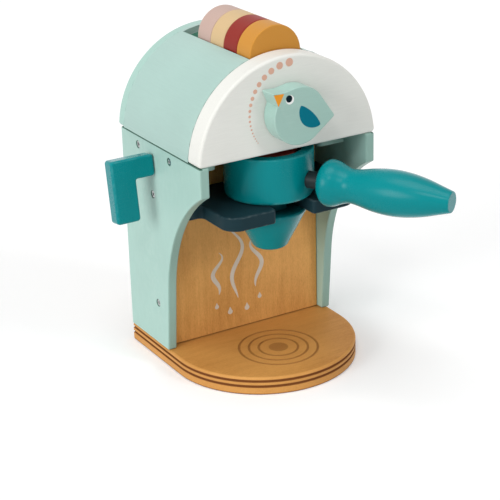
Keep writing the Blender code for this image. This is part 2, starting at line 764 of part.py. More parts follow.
def steam_lever(left_panel, material, screw_material):
    """L-shaped lever that turns on a screw put in from the left panel's inner face."""
    centre = pivot("lever", (-HALF_WIDTH, LEVER_PIVOT_Y, LEVER_PIVOT_Z), (LEVER_TILT, 0, 0))
    top = LEVER_ARM_HEIGHT / 2
    inner = -LEVER_GAP
    outer = -LEVER_GAP - LEVER_REACH
    outline = filleted(
        [
            (inner, top, 0),
            (outer, top, 0),
            (outer, top - LEVER_BAR_LENGTH, 0),
            (outer + LEVER_BAR_WIDTH, top - LEVER_BAR_LENGTH, 0),
            (outer + LEVER_BAR_WIDTH, -top, LEVER_INNER_CORNER),
            (inner, -top, 0),
        ]
    )
    lever = slab("steam_lever", outline, -LEVER_THICKNESS / 2, LEVER_THICKNESS, "Y", material, centre)
    round_edges(lever, LEVER_EDGE, 2)
    screw("lever_screw", (PANEL_THICKNESS, 0, 0), (1, 0, 0), LEVER_SCREW_LENGTH, (left_panel, lever),
          screw_material, centre)


# Fastenings


def side_screws(side, word, panel, board, back, material):
    """Four screws through a side panel, two into the top board and two into the back panel's edge."""
    board_z = BOARD_BOTTOM_Z + BOARD_THICKNESS / 2
    back_y = BACK_PANEL_Y + BACK_PANEL_THICKNESS / 2
    places = (
        ("board_screw_front", BOARD_FRONT_Y + BOARD_SCREW_INSET, board_z, board),
        ("board_screw_back", BOARD_BACK_Y - BOARD_SCREW_INSET, board_z, board),
        ("panel_screw_upper", back_y, BOARD_BOTTOM_Z - PANEL_SCREW_DROP, back),
        ("panel_screw_lower", back_y, BASE_THICKNESS + PANEL_SCREW_RISE, back),
    )
    for name, y, z, inner in places:
        place = (side * HALF_WIDTH, y, z)
        screw(f"{name}_{word}", place, (side, 0, 0), SIDE_SCREW_LENGTH, (panel, inner), material)


def foot_screws(side, word, panel, base, material):
    """Two screws up through the base plate into a side panel's foot."""
    x = side * (INNER_HALF + BASE_SCREW_INSIDE)
    for end, y in (("front", foot_front() + BASE_SCREW_INSET), ("back", BODY_BACK_Y - BASE_SCREW_INSET)):
        screw(f"foot_screw_{end}_{word}", (x, y, 0), (0, 0, -1), BASE_SCREW_LENGTH, (base, panel), material)


def dome_pins(side, word, panel, front, back, material):
    """Two dowel pins between a side panel's top edge and the dome's front and back panels."""
    z = SEAM_Z + SEAT_GAP / 2
    for end, y, board in (("front", PIN_FRONT_INSET, front), ("back", BODY_BACK_Y - PIN_BACK_INSET, back)):
        pin(f"dome_pin_{end}_{word}", (side * PANEL_MIDDLE_X, y, z), (panel, board), material)


def main():
    for old in list(bpy.data.objects):
        bpy.data.objects.remove(old)

    mint = paint("mint_paint", (181, 211, 199))
    white = paint("white_paint", (232, 234, 228))
    stained = paint("stained_wood", (184, 137, 80), 0.55)
    base_stain = paint("base_stain", (172, 116, 60), 0.5)
    navy = paint("navy_paint", (36, 53, 61), 0.4)
    teal = paint("teal_paint", (16, 128, 132), 0.35)
    black = paint("black_paint", (36, 40, 42), 0.4)
    steel = paint("screw_steel", (176, 178, 180), 0.3, 1.0)
    plain_wood = paint("plain_wood", (214, 180, 130), 0.6)
    rust = paint("rust_paint", (150, 58, 44))
    pod_paints = (
        ("ochre", paint("ochre_paint", (212, 150, 72))),
        ("red", paint("red_paint", (152, 58, 52))),
        ("cream", paint("cream_paint", (236, 212, 170))),
        ("pink", paint("pink_paint", (219, 190, 181))),
    )

    base = base_plate(base_stain)
    back = back_panel(stained)
    board = top_board(mint)
    fork = fork_shelf(navy)
    front_panel = dome_front_panel(white)
    rear_panel = dome_back_panel(mint)
    dome_shell(mint)
    pod_tray(mint)
    pods_in_tray(pod_paints)
    portafilter(teal, black, rust)

    side_panels = {}
    for side, word in ((-1, "left"), (1, "right")):
        panel = side_panel(f"side_panel_{word}", side, mint)
        side_screws(side, word, panel, board, back, steel)
        foot_screws(side, word, panel, base, steel)
        dome_pins(side, word, panel, front_panel, rear_panel, plain_wood)
        side_panels[word] = panel
        screw(
            f"fork_screw_{word}",
            (side * FORK_SCREW_X, BACK_PANEL_REAR_Y, FORK_TOP_Z - FORK_THICKNESS / 2),
            (0, 1, 0),
            FORK_SCREW_LENGTH,
            (back, fork),
            steel,
        )

    bird_knob(front_panel, mint, steel)
    steam_lever(side_panels["left"], teal, steel)


main()
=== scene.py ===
"""Looks of a toy coffee maker: a painted wooden espresso machine for pretend play.

Every sub-assembly is a class that holds its sizes in metres and builds its pieces as numpy surfaces in the
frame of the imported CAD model: origin on the table, +Z up, the machine faces -Y.
"""

import sys
import logging
from dataclasses import dataclass, field, replace
from enum import Enum
from math import acos, asin, atan2, cos, pi, radians, sin, sqrt, tan
from typing import Callable, Iterable, Protocol, Sequence

import bpy
import numpy as np
from mathutils import Matrix, Vector


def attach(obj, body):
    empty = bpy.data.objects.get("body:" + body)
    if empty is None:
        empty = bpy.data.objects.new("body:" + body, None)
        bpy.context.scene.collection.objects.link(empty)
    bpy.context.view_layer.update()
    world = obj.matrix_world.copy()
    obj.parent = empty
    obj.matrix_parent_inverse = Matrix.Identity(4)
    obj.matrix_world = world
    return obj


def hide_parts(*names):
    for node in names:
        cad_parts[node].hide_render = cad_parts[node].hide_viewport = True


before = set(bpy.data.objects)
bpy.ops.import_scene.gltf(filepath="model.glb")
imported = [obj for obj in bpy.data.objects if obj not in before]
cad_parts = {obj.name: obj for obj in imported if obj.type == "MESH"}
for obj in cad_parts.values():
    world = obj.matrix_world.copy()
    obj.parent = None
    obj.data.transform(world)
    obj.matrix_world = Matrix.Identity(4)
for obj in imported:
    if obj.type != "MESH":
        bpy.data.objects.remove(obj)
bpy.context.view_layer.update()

log = logging.getLogger("toy_coffee_maker")

Array = np.ndarray
Corner = tuple[float, float, float]
Point = tuple[float, float, float]
Colour = tuple[int, int, int]

SMOOTH_ANGLE = radians(32)
WORN_ANGLE = radians(7)
SUPPORT = 0.00025
SEAT_GAP = 0.0003
SMALL_EDGE = 0.0004
CUT_OVERRUN = 0.004
LAYER_ROOT = 0.0002
LAYER_THICKNESS = 0.00007
ARC_STEPS = 6


class Axis(Enum):
    """Direction that a board's thickness or a grain runs along."""

    X = 0
    Y = 1
    Z = 2


class Side(Enum):
    """Side of the machine as seen from behind the knob: left is -X."""

    LEFT = -1
    RIGHT = 1

    @property
    def word(self) -> str:
        """Lower-case word used in piece names."""
        return self.name.lower()


class Body(Enum):
    """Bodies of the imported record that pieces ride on."""

    MACHINE = "machine"
    KNOB = "knob"
    LEVER = "lever"
    PORTAFILTER = "portafilter"
    RUST_POD = "rust_pod"
    OCHRE_POD = "ochre_pod"
    RED_POD = "red_pod"
    CREAM_POD = "cream_pod"
    PINK_POD = "pink_pod"


class Slot(Enum):
    """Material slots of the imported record."""

    MINT = "mint_paint"
    WHITE = "white_paint"
    STAINED = "stained_wood"
    BASE = "base_stain"
    NAVY = "navy_paint"
    TEAL = "teal_paint"
    BLACK = "black_paint"
    STEEL = "screw_steel"
    PLAIN_WOOD = "plain_wood"
    OCHRE = "ochre_paint"
    CREAM = "cream_paint"
    RED = "red_paint"
    PINK = "pink_paint"
    RUST = "rust_paint"


# Surfaces


@dataclass(frozen=True)
class Shape:
    """Closed surface: points, four-sided and three-sided faces, and flat caps with many sides."""

    points: Array
    quads: Array
    triangles: Array = field(default_factory=lambda: np.zeros((0, 3), int))
    caps: tuple[Array, ...] = ()

    def volume(self) -> float:
        """Signed volume: the sum of a . (b x c) / 6 over the fan triangles of every face."""
        total = 0.0
        for faces in (self.quads, self.triangles, *(cap[None] for cap in self.caps)):
            first = self.points[faces[:, :1]]
            total += float((first * np.cross(self.points[faces[:, 1:-1]], self.points[faces[:, 2:]])).sum())
        return total / 6

    def outward(self) -> "Shape":
        """Same surface with its faces turned outward."""
        if self.volume() >= 0:
            return self
        return Shape(
            self.points, self.quads[:, ::-1], self.triangles[:, ::-1], tuple(cap[::-1] for cap in self.caps)
        )

    def moved(self, matrix: Matrix) -> "Shape":
        """Same surface after a rigid motion: p' = R p + t."""
        numbers = np.array(matrix)
        points = self.points @ numbers[:3, :3].T + numbers[:3, 3]
        return Shape(points, self.quads, self.triangles, self.caps)

    def __add__(self, other: "Shape") -> "Shape":
        """Both surfaces in one mesh."""
        shift = len(self.points)
        return Shape(
            np.vstack((self.points, other.points)),
            np.vstack((self.quads, other.quads + shift)),
            np.vstack((self.triangles, other.triangles + shift)),
            self.caps + tuple(cap + shift for cap in other.caps),
        )

    def faces(self) -> list[list[int]]:
        """All faces as lists of point numbers."""
        return self.quads.tolist() + self.triangles.tolist() + [cap.tolist() for cap in self.caps]


def arc(centre: tuple[float, float], radius: float, start: float, end: float, steps: int) -> Array:
    """Points c + r (cos t, sin t) for steps + 1 even values of t.

    Args:
        centre: centre of the circle.
        radius: radius of the circle.
        start: first angle in radians.
        end: last angle in radians.
        steps: number of steps between the first and the last point.

    Returns:
        Array of (steps + 1, 2) points.
    """
    turn = np.linspace(start, end, steps + 1)
    return np.stack((centre[0] + radius * np.cos(turn), centre[1] + radius * np.sin(turn)), -1)


def fillet(before: Array, here: Array, after: Array, radius: float, steps: int) -> Array:
    """Round corner between two straight runs, with one support point on each run just beyond the round part.

    The arc's centre lies on the corner's bisector at radius / sin(half the corner's angle).

    Args:
        before: neighbouring corner before this one.
        here: the corner.
        after: neighbouring corner after this one.
        radius: radius of the round corner.
        steps: number of steps along the arc.

    Returns:
        Array of (steps + 3, 2) points.
    """
    back = (before - here) / np.linalg.norm(before - here)
    on = (after - here) / np.linalg.norm(after - here)
    half = acos(float(np.clip(back @ on, -1, 1))) / 2
    bisector = (back + on) / np.linalg.norm(back + on)
    centre = here + bisector * radius / sin(half)
    reach = radius / tan(half)
    first = here + back * reach - centre
    last = here + on * reach - centre
    start = atan2(first[1], first[0])
    turn = (atan2(last[1], last[0]) - start + pi) % (2 * pi) - pi
    bend = arc(tuple(centre), radius, start, start + turn, steps)
    return np.vstack((here + back * (reach + SUPPORT), bend, here + on * (reach + SUPPORT)))


def rounded(corners: Sequence[Corner], steps: int = ARC_STEPS) -> Array:
    """Outline or profile through (a, b, radius) corners, each rounded to its own radius.

    Args:
        corners: corners in order; a radius of 0 keeps one sharp.
        steps: number of steps along each round corner.

    Returns:
        Array of (points, 2).
    """
    places = np.array([corner[:2] for corner in corners], float)
    runs = []
    for i, (_, _, radius) in enumerate(corners):
        here = places[i]
        if radius:
            runs.append(fillet(places[i - 1], here, places[(i + 1) % len(places)], radius, steps))
        else:
            runs.append(here[None])
    return np.vstack(runs)


def sharp(points: Array) -> list[Corner]:
    """Points as corners without a radius."""
    return [(a, b, 0.0) for a, b in points.tolist()]


def mirrored(half: Sequence[Corner]) -> list[Corner]:
    """Corners of a symmetric outline from those of its right half."""
    return [*half, *((-a, b, radius) for a, b, radius in reversed(half))]


def anticlockwise(outline: Array) -> Array:
    """Same outline with its area on the left of its direction, by the sign of the shoelace sum."""
    after = np.roll(outline, -1, axis=0)
    area = (outline[:, 0] * after[:, 1] - outline[:, 1] * after[:, 0]).sum()
    return outline if area > 0 else outline[::-1]


def mitres(outline: Array) -> Array:
    """Vector at each corner that moves both its sides inward by one unit: (m + n) / (1 + m . n).

    Args:
        outline: closed anticlockwise outline.

    Returns:
        Array like the outline; m and n are the inward normals of the sides before and after a corner.
    """
    side = np.roll(outline, -1, axis=0) - outline
    side /= np.linalg.norm(side, axis=1, keepdims=True)
    after = np.stack((-side[:, 1], side[:, 0]), -1)
    before = np.roll(after, 1, axis=0)
    return (before + after) / (1 + (before * after).sum(1, keepdims=True))


def skin(rings: Array, closed: bool = False) -> Shape:
    """Surface through rings of equally many points: a function of the ring and of the place round it.

    Args:
        rings: array of (rings, points, 3).
        closed: True joins the last ring to the first one; otherwise both ends get flat caps.

    Returns:
        The surface, faces outward.
    """
    count, sides = rings.shape[:2]
    index = np.arange(count * sides).reshape(count, sides)
    if closed:
        lower, upper = index, np.roll(index, -1, axis=0)
        caps = ()
    else:
        lower, upper = index[:-1], index[1:]
        caps = (index[0][::-1], index[-1])
    quads = np.stack((lower, np.roll(lower, -1, axis=1), np.roll(upper, -1, axis=1), upper), -1)
    return Shape(rings.reshape(-1, 3), quads.reshape(-1, 4), caps=caps).outward()


def edge_levels(start: float, end: float, start_round: float, end_round: float) -> Array:
    """(depth, inset) pairs through a board with quarter-round edges.

    An edge of radius r at depth d runs through (d + r (1 - cos t), r (1 - sin t)) for t from 0 to a quarter
    turn.

    Args:
        start: depth of the first face.
        end: depth of the last face.
        start_round: radius of the first face's edge.
        end_round: radius of the last face's edge.

    Returns:
        Array of (levels, 2).
    """
    turn = np.linspace(0, pi / 2, ARC_STEPS + 1)
    sense = 1 if end > start else -1
    quarter = np.stack((1 - np.cos(turn), 1 - np.sin(turn)), -1)
    first = (start, 0) + (sense, 1) * (start_round * quarter)
    last = (end, 0) + (-sense, 1) * (end_round * quarter[::-1])
    if not start_round:
        first = first[:1]
    if not end_round:
        last = last[:1]
    return np.vstack(
        (
            (start, start_round + SUPPORT),
            first,
            (start + sense * (start_round + SUPPORT), 0),
            (end - sense * (end_round + SUPPORT), 0),
            last,
            (end, end_round + SUPPORT),
        )
    )


def along(axis: Axis, a: Array, b: Array, depth: Array) -> Array:
    """Points with coordinates (a, b) across an axis and a depth along it."""
    parts = [a, b]
    parts.insert(axis.value, depth)
    return np.stack(np.broadcast_arrays(*parts), -1)


def slab(
    outline: Array,
    start: float,
    end: float,
    axis: Axis,
    start_round: float = 0.0,
    end_round: float | None = None,
) -> Shape:
    """Board with rounded edges: a ring at each depth is the outline moved inward along its mitres.

    Args:
        outline: closed outline across the axis.
        start: depth of the first face.
        end: depth of the last face.
        axis: direction of the thickness.
        start_round: radius of the first face's edge.
        end_round: radius of the last face's edge, the same as the first one's when it is None.

    Returns:
        The closed board.
    """
    path = anticlockwise(outline)
    levels = edge_levels(start, end, start_round, start_round if end_round is None else end_round)
    inward = mitres(path)
    rings = path[None] + inward[None] * levels[:, 1, None, None]
    return skin(along(axis, rings[..., 0], rings[..., 1], levels[:, 0, None])).outward()


def layer(outline: Array, face: float, coats: int = 1) -> Shape:
    """Thin layer of paint on a face that looks towards -Y; it reaches a little way into the face."""
    path = anticlockwise(outline)
    depth = np.array([face + LAYER_ROOT, face - coats * LAYER_THICKNESS])
    return skin(along(Axis.Y, path[None, :, 0], path[None, :, 1], depth[:, None]))


def joined(shapes: Iterable[Shape]) -> Shape:
    """Several shapes as one."""
    first, *others = shapes
    for shape in others:
        first = first + shape
    return first


def revolve(profile: Array, steps: int) -> Shape:
    """Solid of revolution about +Z: (r, h) -> (r cos t, r sin t, h).

    The profile starts and ends on the axis.

    Args:
        profile: array of (radius, height) points.
        steps: number of steps round the axis.

    Returns:
        The closed surface with one point at each pole.
    """
    turn = np.linspace(0, 2 * pi, steps, endpoint=False)
    radius = profile[1:-1, 0, None]
    height = np.broadcast_to(profile[1:-1, 1, None], (len(radius), steps))
    rings = np.stack((radius * np.cos(turn), radius * np.sin(turn), height), -1)
    wall = skin(rings)
    poles = np.array([(0, 0, profile[0, 1]), (0, 0, profile[-1, 1])])
    first, last = wall.caps[0], wall.caps[-1]
    fans = [
        np.stack((np.roll(ring, -1), np.full(steps, pole), ring), -1)
        for ring, pole in ((first, len(wall.points)), (last, len(wall.points) + 1))
    ]
    turned = Shape(np.vstack((wall.points, poles)), wall.quads, np.vstack(fans)[:, ::-1])
    return turned.outward()


def ring_tool(profile: Array, steps: int) -> Shape:
    """Ring with a closed (r, h) cross-section, spun about +Z."""
    turn = np.linspace(0, 2 * pi, steps, endpoint=False)
    radius = profile[:, 0, None]
    height = np.broadcast_to(profile[:, 1, None], (len(radius), steps))
    return skin(np.stack((radius * np.cos(turn), radius * np.sin(turn), height), -1), closed=True)


def smooth_through(stations: Array, steps: int) -> Array:
    """Catmull-Rom curve: ((2 b) + (c - a) t + (2 a - 5 b + 4 c - d) t^2 + (3 b - a - 3 c + d) t^3) / 2.

    Args:
        stations: array of (stations, 2) that the curve runs through.
        steps: points per stretch between two stations.

    Returns:
        Array of (points, 2), with the last station at its end.
    """
    padded = np.vstack((stations[:1], stations, stations[-1:]))
    a, b, c, d = (padded[i : len(stations) - 1 + i, None] for i in range(4))
    t = np.linspace(0, 1, steps, endpoint=False)[None, :, None]
    points = (2 * b + (c - a) * t + (2 * a - 5 * b + 4 * c - d) * t**2 + (3 * b - a - 3 * c + d) * t**3) / 2
    return np.vstack((points.reshape(-1, 2), stations[-1:]))


def aimed(direction: Point, place: Point) -> Matrix:
    """Motion that turns +Z to a direction and then goes to a place."""
    return Matrix.Translation(place) @ Vector(direction).to_track_quat("Z", "Y").to_matrix().to_4x4()


# Shading


class Wire:
    """One output of a node tree, which adds, multiplies and compares like a number."""

    def __init__(self, graph: "Graph", socket: bpy.types.NodeSocket) -> None:
        """Keeps the output and the graph that it belongs to."""
        self.graph = graph
        self.socket = socket

    def __add__(self, other: "Wire | float") -> "Wire":
        """self + other."""
        return self.graph.math("ADD", self, other)

    def __radd__(self, other: float) -> "Wire":
        """other + self."""
        return self.graph.math("ADD", other, self)

    def __sub__(self, other: "Wire | float") -> "Wire":
        """self - other."""
        return self.graph.math("SUBTRACT", self, other)

    def __rsub__(self, other: float) -> "Wire":
        """other - self."""
        return self.graph.math("SUBTRACT", other, self)

    def __mul__(self, other: "Wire | float") -> "Wire":
        """self * other."""
        return self.graph.math("MULTIPLY", self, other)

    def __rmul__(self, other: float) -> "Wire":
        """other * self."""
        return self.graph.math("MULTIPLY", other, self)

    def __truediv__(self, other: "Wire | float") -> "Wire":
        """self / other."""
        return self.graph.math("DIVIDE", self, other)

    def __rtruediv__(self, other: float) -> "Wire":
        """other / self."""
        return self.graph.math("DIVIDE", other, self)

    def __mod__(self, other: "Wire | float") -> "Wire":
        """self modulo other."""
        return self.graph.math("FLOORED_MODULO", self, other)

    def __pow__(self, other: "Wire | float") -> "Wire":
        """self to the power of other."""
        return self.graph.math("POWER", self, other)

    def __abs__(self) -> "Wire":
        """Absolute value."""
        return self.graph.math("ABSOLUTE", self)

    def at_most(self, other: "Wire | float") -> "Wire":
        """The smaller of the two."""
        return self.graph.math("MINIMUM", self, other)

    def at_least(self, other: "Wire | float") -> "Wire":
        """The larger of the two."""
        return self.graph.math("MAXIMUM", self, other)

    def ramp(self, low: float, high: float) -> "Wire":
        """Smooth step from 0 at low to 1 at high; low may be above high."""
        rising = low < high
        step = self.graph.node(
            "ShaderNodeMapRange",
            {"Value": self, "From Min": min(low, high), "From Max": max(low, high)},
            {"interpolation_type": "SMOOTHSTEP"},
        )
        return step if rising else 1 - step


class Graph:
    """Node tree of one Principled material."""

    def __init__(self, name: str) -> None:
        """Makes the material and finds its shader."""
        self.material = bpy.data.materials.new(name)
        self.material.use_nodes = True
        self.tree = self.material.node_tree
        self.shader = self.tree.nodes["Principled BSDF"]

    def attach(self, socket: bpy.types.NodeSocket, value: object) -> None:
        """Links a wire to a socket, or sets a plain value on it."""
        if isinstance(value, Wire):
            self.tree.links.new(value.socket, socket)
        else:
            socket.default_value = value

    def node(self, kind: str, inputs: dict[object, object], settings: dict[str, object] | None = None,
             output: object = 0) -> Wire:
        """Adds any node.

        Args:
            kind: node type.
            inputs: value or wire for each input's name or number.
            settings: attributes of the node itself.
            output: name or number of the output to return.

        Returns:
            That output.
        """
        node = self.tree.nodes.new(kind)
        for name, value in (settings or {}).items():
            setattr(node, name, value)
        for name, value in inputs.items():
            self.attach(node.inputs[name], value)
        return Wire(self, node.outputs[output])

    def math(self, operation: str, a: Wire | float, b: Wire | float = 0.0) -> Wire:
        """One Math node."""
        return self.node("ShaderNodeMath", {0: a, 1: b}, {"operation": operation})

    def position(self) -> Wire:
        """Object coordinates, in metres of the machine's frame at rest."""
        return self.node("ShaderNodeTexCoord", {}, output="Object")

    def attribute(self, name: str) -> Wire:
        """Value that the mesh stores at its points."""
        return self.node("ShaderNodeAttribute", {}, {"attribute_name": name}, "Fac")

    def scaled(self, vector: Wire, factors: Point) -> Wire:
        """Vector with each coordinate times its own factor."""
        return self.node("ShaderNodeVectorMath", {0: vector, 1: factors}, {"operation": "MULTIPLY"})

    def distance(self, vector: Wire, point: Point) -> Wire:
        """Distance from a fixed point."""
        return self.node("ShaderNodeVectorMath", {0: vector, 1: point}, {"operation": "DISTANCE"}, "Value")

    def coordinate(self, vector: Wire, axis: Axis) -> Wire:
        """One coordinate of a vector."""
        return self.node("ShaderNodeSeparateXYZ", {0: vector}, output=axis.value)

    def noise(self, vector: Wire, per_metre: float, detail: float = 2.0, roughness: float = 0.5) -> Wire:
        """Noise between 0 and 1 with so many cells per metre."""
        return self.node(
            "ShaderNodeTexNoise",
            {"Vector": vector, "Scale": per_metre, "Detail": detail, "Roughness": roughness},
        )

    def blend(self, factor: Wire, a: Wire | Colour, b: Wire | Colour) -> Wire:
        """Colour a where the factor is 0 and b where it is 1."""
        colours = [value if isinstance(value, Wire) else linear(value) for value in (a, b)]
        return self.node(
            "ShaderNodeMix",
            {0: factor, 6: colours[0], 7: colours[1]},
            {"data_type": "RGBA", "clamp_factor": True},
            2,
        )

    def bump(self, height: Wire, strength: float, distance: float) -> Wire:
        """Normal of a surface with this height, times a distance in metres."""
        return self.node(
            "ShaderNodeBump", {"Height": height, "Strength": strength, "Distance": distance}, output="Normal"
        )

    def shade(self, **inputs: object) -> None:
        """Sets or links inputs of the shader; an underscore stands for a space."""
        for name, value in inputs.items():
            self.attach(self.shader.inputs[name.replace("_", " ")], value)


def linear(colour: Colour) -> tuple[float, float, float, float]:
    """Scene-linear colour of an sRGB colour of 0 to 255."""
    share = np.array(colour, float) / 255
    value = np.where(share <= 0.04045, share / 12.92, ((share + 0.055) / 1.055) ** 2.4)
    return (*value.tolist(), 1.0)


def stretch(axis: Axis, shrink: float) -> Point:
    """Factors that make a texture run long along one axis."""
    factors = [1.0, 1.0, 1.0]
    factors[axis.value] = shrink
    return tuple(factors)


@dataclass(frozen=True)
class Texture:
    """Noise of so many cells per metre; a shrink below 1 draws it long along the grain."""

    per_metre: float
    detail: float = 2.0
    roughness: float = 0.5
    shrink: float = 1.0

    def over(self, graph: Graph, place: Wire, grain: Axis) -> Wire:
        """Value between 0 and 1 at a place.

        Args:
            graph: node tree.
            place: coordinates in metres.
            grain: axis that the grain runs along.

        Returns:
            The value.
        """
        if self.shrink != 1:
            place = graph.scaled(place, stretch(grain, self.shrink))
        return graph.noise(place, self.per_metre, self.detail, self.roughness)


class Finish(Protocol):
    """Anything that makes a material."""

    def material(self, name: str) -> bpy.types.Material:
        """Makes the material under a name."""


@dataclass(frozen=True)
class Paint:
    """Sprayed satin paint on wood: faint mottling, wood fibres that show through, orange peel, edges
    lightened partly by thin, worn paint and partly as a painted highlight.

    The sheen is a coat that shows at a slant only. A mask of marks takes the paint to its colour of painted
    light: painted shade, and painted bounce light on the dome's back disc.
    """

    colour: Colour
    grain: Axis = Axis.Z
    roughness: float = 0.45
    specular: float = 0.2
    mottling: float = 0.5
    fibre_bump: float = 0.5
    edge_light: float = 0.12
    sheen: float = 0.0
    marks: Callable[[Graph, Wire], Wire] | None = None
    # Colour of painted light that the marks take the paint to; by default a painted shade of the mint.
    marked: Colour = (52, 98, 82)
    undercoat: Colour = (255, 252, 244)
    cloud: Texture = Texture(20, 1)
    fibre: Texture = Texture(900, 3, 0.6, 0.07)
    peel: Texture = Texture(1300, 1.5)
    wear: Texture = Texture(260, 3)

    def material(self, name: str) -> bpy.types.Material:
        """Makes the material.

        Args:
            name: name of the material.

        Returns:
            The painted material.
        """
        graph = Graph(name)
        place = graph.position()
        textures = (self.cloud, self.fibre, self.peel, self.wear)
        cloud, fibre, peel, wear = (texture.over(graph, place, self.grain) for texture in textures)
        shade = 0.5 + self.mottling * (cloud - 0.5) + self.mottling * (fibre - 0.5)
        base = np.array(self.colour, float)
        darker = tuple(np.clip(base * 0.955 - 1, 0, 255).tolist())
        lighter = tuple(np.clip(base * 1.03 + 2, 0, 255).tolist())
        thin = tuple((base + (np.array(self.undercoat) - base) * 0.5).tolist())
        colour = graph.blend(shade, darker, lighter)
        # Lighter edges: partly thin, worn paint and partly a painted highlight along the edges.
        worn = graph.attribute("edge") * wear.ramp(0.35, 0.72) * self.edge_light
        colour = graph.blend(worn, colour, thin)
        # Painted light: the mask blends in painted shade, and on the dome's back disc painted bounce light.
        if self.marks:
            colour = graph.blend(self.marks(graph, place), colour, self.marked)
        slant = graph.node("ShaderNodeLayerWeight", {}, output="Facing").ramp(0.4, 0.8)
        graph.shade(
            Base_Color=colour,
            Roughness=self.roughness + 0.12 * (cloud - 0.5) + 0.06 * (peel - 0.5),
            Specular_IOR_Level=self.specular,
            Coat_Weight=self.sheen * slant,
            Coat_Roughness=0.25,
            Normal=graph.bump(0.45 * peel + self.fibre_bump * fibre, 0.35, 0.00012),
        )
        return graph.material


@dataclass(frozen=True)
class StainedWood:
    """Stained board under a satin varnish: growth bands, fine fibres, short dark pores, burnt marks and dark
    lines.
    """

    light: Colour
    dark: Colour
    pore: Colour
    grain: Axis
    burnt: Colour = (116, 60, 27)
    marks: Callable[[Graph, Wire], Wire] | None = None
    roughness: float = 0.5
    specular: float = 0.2
    contrast: float = 1.0
    wander_per_metre: float = 14.0
    wander_reach: float = 0.010
    band: Texture = Texture(160, 2, 0.55, 0.05)
    fibre: Texture = Texture(1500, 4, 0.65, 0.035)
    pores: Texture = Texture(2600, 1, 0.4, 0.12)
    speck: Texture = Texture(1500, 2, 0.6, 0.35)
    cloud: Texture = Texture(26, 3)

    def material(self, name: str) -> bpy.types.Material:
        """Makes the material.

        Args:
            name: name of the material.

        Returns:
            The stained material, with the burnt marks and dark lines where their mask is 1.
        """
        graph = Graph(name)
        place = graph.position()
        drift = graph.node(
            "ShaderNodeTexNoise", {"Vector": place, "Scale": self.wander_per_metre}, output="Color"
        )
        wander = graph.node(
            "ShaderNodeVectorMath",
            {0: drift, 1: (self.wander_reach,) * 3, 2: place},
            {"operation": "MULTIPLY_ADD"},
        )
        band, fibre = (texture.over(graph, wander, self.grain) for texture in (self.band, self.fibre))
        speck, cloud = (texture.over(graph, place, self.grain) for texture in (self.speck, self.cloud))
        pores = self.pores.over(graph, place, self.grain).ramp(0.66, 0.76)
        shade = 0.9 * (band - 0.5) + 0.9 * (fibre - 0.5) + 0.9 * (speck - 0.5) + 1.1 * (cloud - 0.5)
        colour = graph.blend(0.5 + self.contrast * shade, self.light, self.dark)
        colour = graph.blend(0.3 * pores, colour, self.pore)
        worn = graph.attribute("edge") * 0.35
        colour = graph.blend(worn, colour, self.light)
        height = 0.6 * fibre - 0.5 * pores
        gloss = self.roughness + 0.14 * (fibre - 0.5) + 0.1 * pores
        if self.marks:
            mark = self.marks(graph, place)
            colour = graph.blend(mark, colour, graph.blend(fibre, self.burnt, self.pore))
            gloss = gloss + 0.2 * mark
        graph.shade(
            Base_Color=colour,
            Roughness=gloss,
            Specular_IOR_Level=self.specular,
            Normal=graph.bump(height, 0.4, 0.0001),
        )
        return graph.material


@dataclass(frozen=True)
class PlatedSteel:
    """Zinc-plated screw: bright with fine scratches, darker and duller in the cross recess."""

    colour: Colour = (204, 206, 206)
    dirt: Colour = (52, 54, 52)
    scratch: Texture = Texture(5200, 3, shrink=0.15)
    cloud: Texture = Texture(900)

    def material(self, name: str) -> bpy.types.Material:
        """Makes the material.

        Args:
            name: name of the material.

        Returns:
            The metal.
        """
        graph = Graph(name)
        place = graph.position()
        scratch, cloud = (texture.over(graph, place, Axis.Y) for texture in (self.scratch, self.cloud))
        dirt = graph.attribute("recess")
        colour = graph.blend(cloud, self.colour, tuple(0.8 * value for value in self.colour))
        colour = graph.blend(0.85 * dirt, colour, self.dirt)
        graph.shade(
            Base_Color=colour,
            Metallic=1 - 0.6 * dirt,
            Roughness=0.26 + 0.2 * (scratch - 0.5) + 0.3 * dirt,
            Normal=graph.bump(scratch, 0.2, 0.00005),
        )
        return graph.material


# Making pieces


def attribute(mesh: bpy.types.Mesh, name: str, values: Array) -> None:
    """Stores one value per point."""
    layer = mesh.attributes.get(name) or mesh.attributes.new(name, "FLOAT", "POINT")
    layer.data.foreach_set("value", values.astype(np.float32))


def edge_share(mesh: bpy.types.Mesh) -> Array:
    """How much each point lies on a tight edge: a smooth step of the widest angle between faces round it.

    Args:
        mesh: finished mesh.

    Returns:
        A value between 0 and 1 per point.
    """
    normals = np.zeros(len(mesh.polygons) * 3)
    mesh.polygons.foreach_get("normal", normals)
    normals = normals.reshape(-1, 3)
    sides = np.zeros(len(mesh.polygons), int)
    mesh.polygons.foreach_get("loop_total", sides)
    face = np.repeat(np.arange(len(sides)), sides)
    edge = np.zeros(len(mesh.loops), int)
    mesh.loops.foreach_get("edge_index", edge)
    order = np.argsort(edge, kind="stable")
    paired = np.flatnonzero(edge[order][1:] == edge[order][:-1])
    first, second = face[order][paired], face[order][paired + 1]
    turn = np.arccos(np.clip((normals[first] * normals[second]).sum(1), -1, 1))
    ends = np.zeros(len(mesh.edges) * 2, int)
    mesh.edges.foreach_get("vertices", ends)
    ends = ends.reshape(-1, 2)[edge[order][paired]]
    widest = np.zeros(len(mesh.vertices))
    np.maximum.at(widest, ends[:, 0], turn)
    np.maximum.at(widest, ends[:, 1], turn)
    share = np.clip(widest / WORN_ANGLE - 1, 0, 1)
    return share * share * (3 - 2 * share)


def bare_object(name: str, shape: Shape) -> bpy.types.Object:
    """Mesh object of a shape, linked to the scene."""
    mesh = bpy.data.meshes.new(name)
    mesh.from_pydata(shape.points.tolist(), [], shape.faces())
    piece = bpy.data.objects.new(name, mesh)
    bpy.context.scene.collection.objects.link(piece)
    return piece


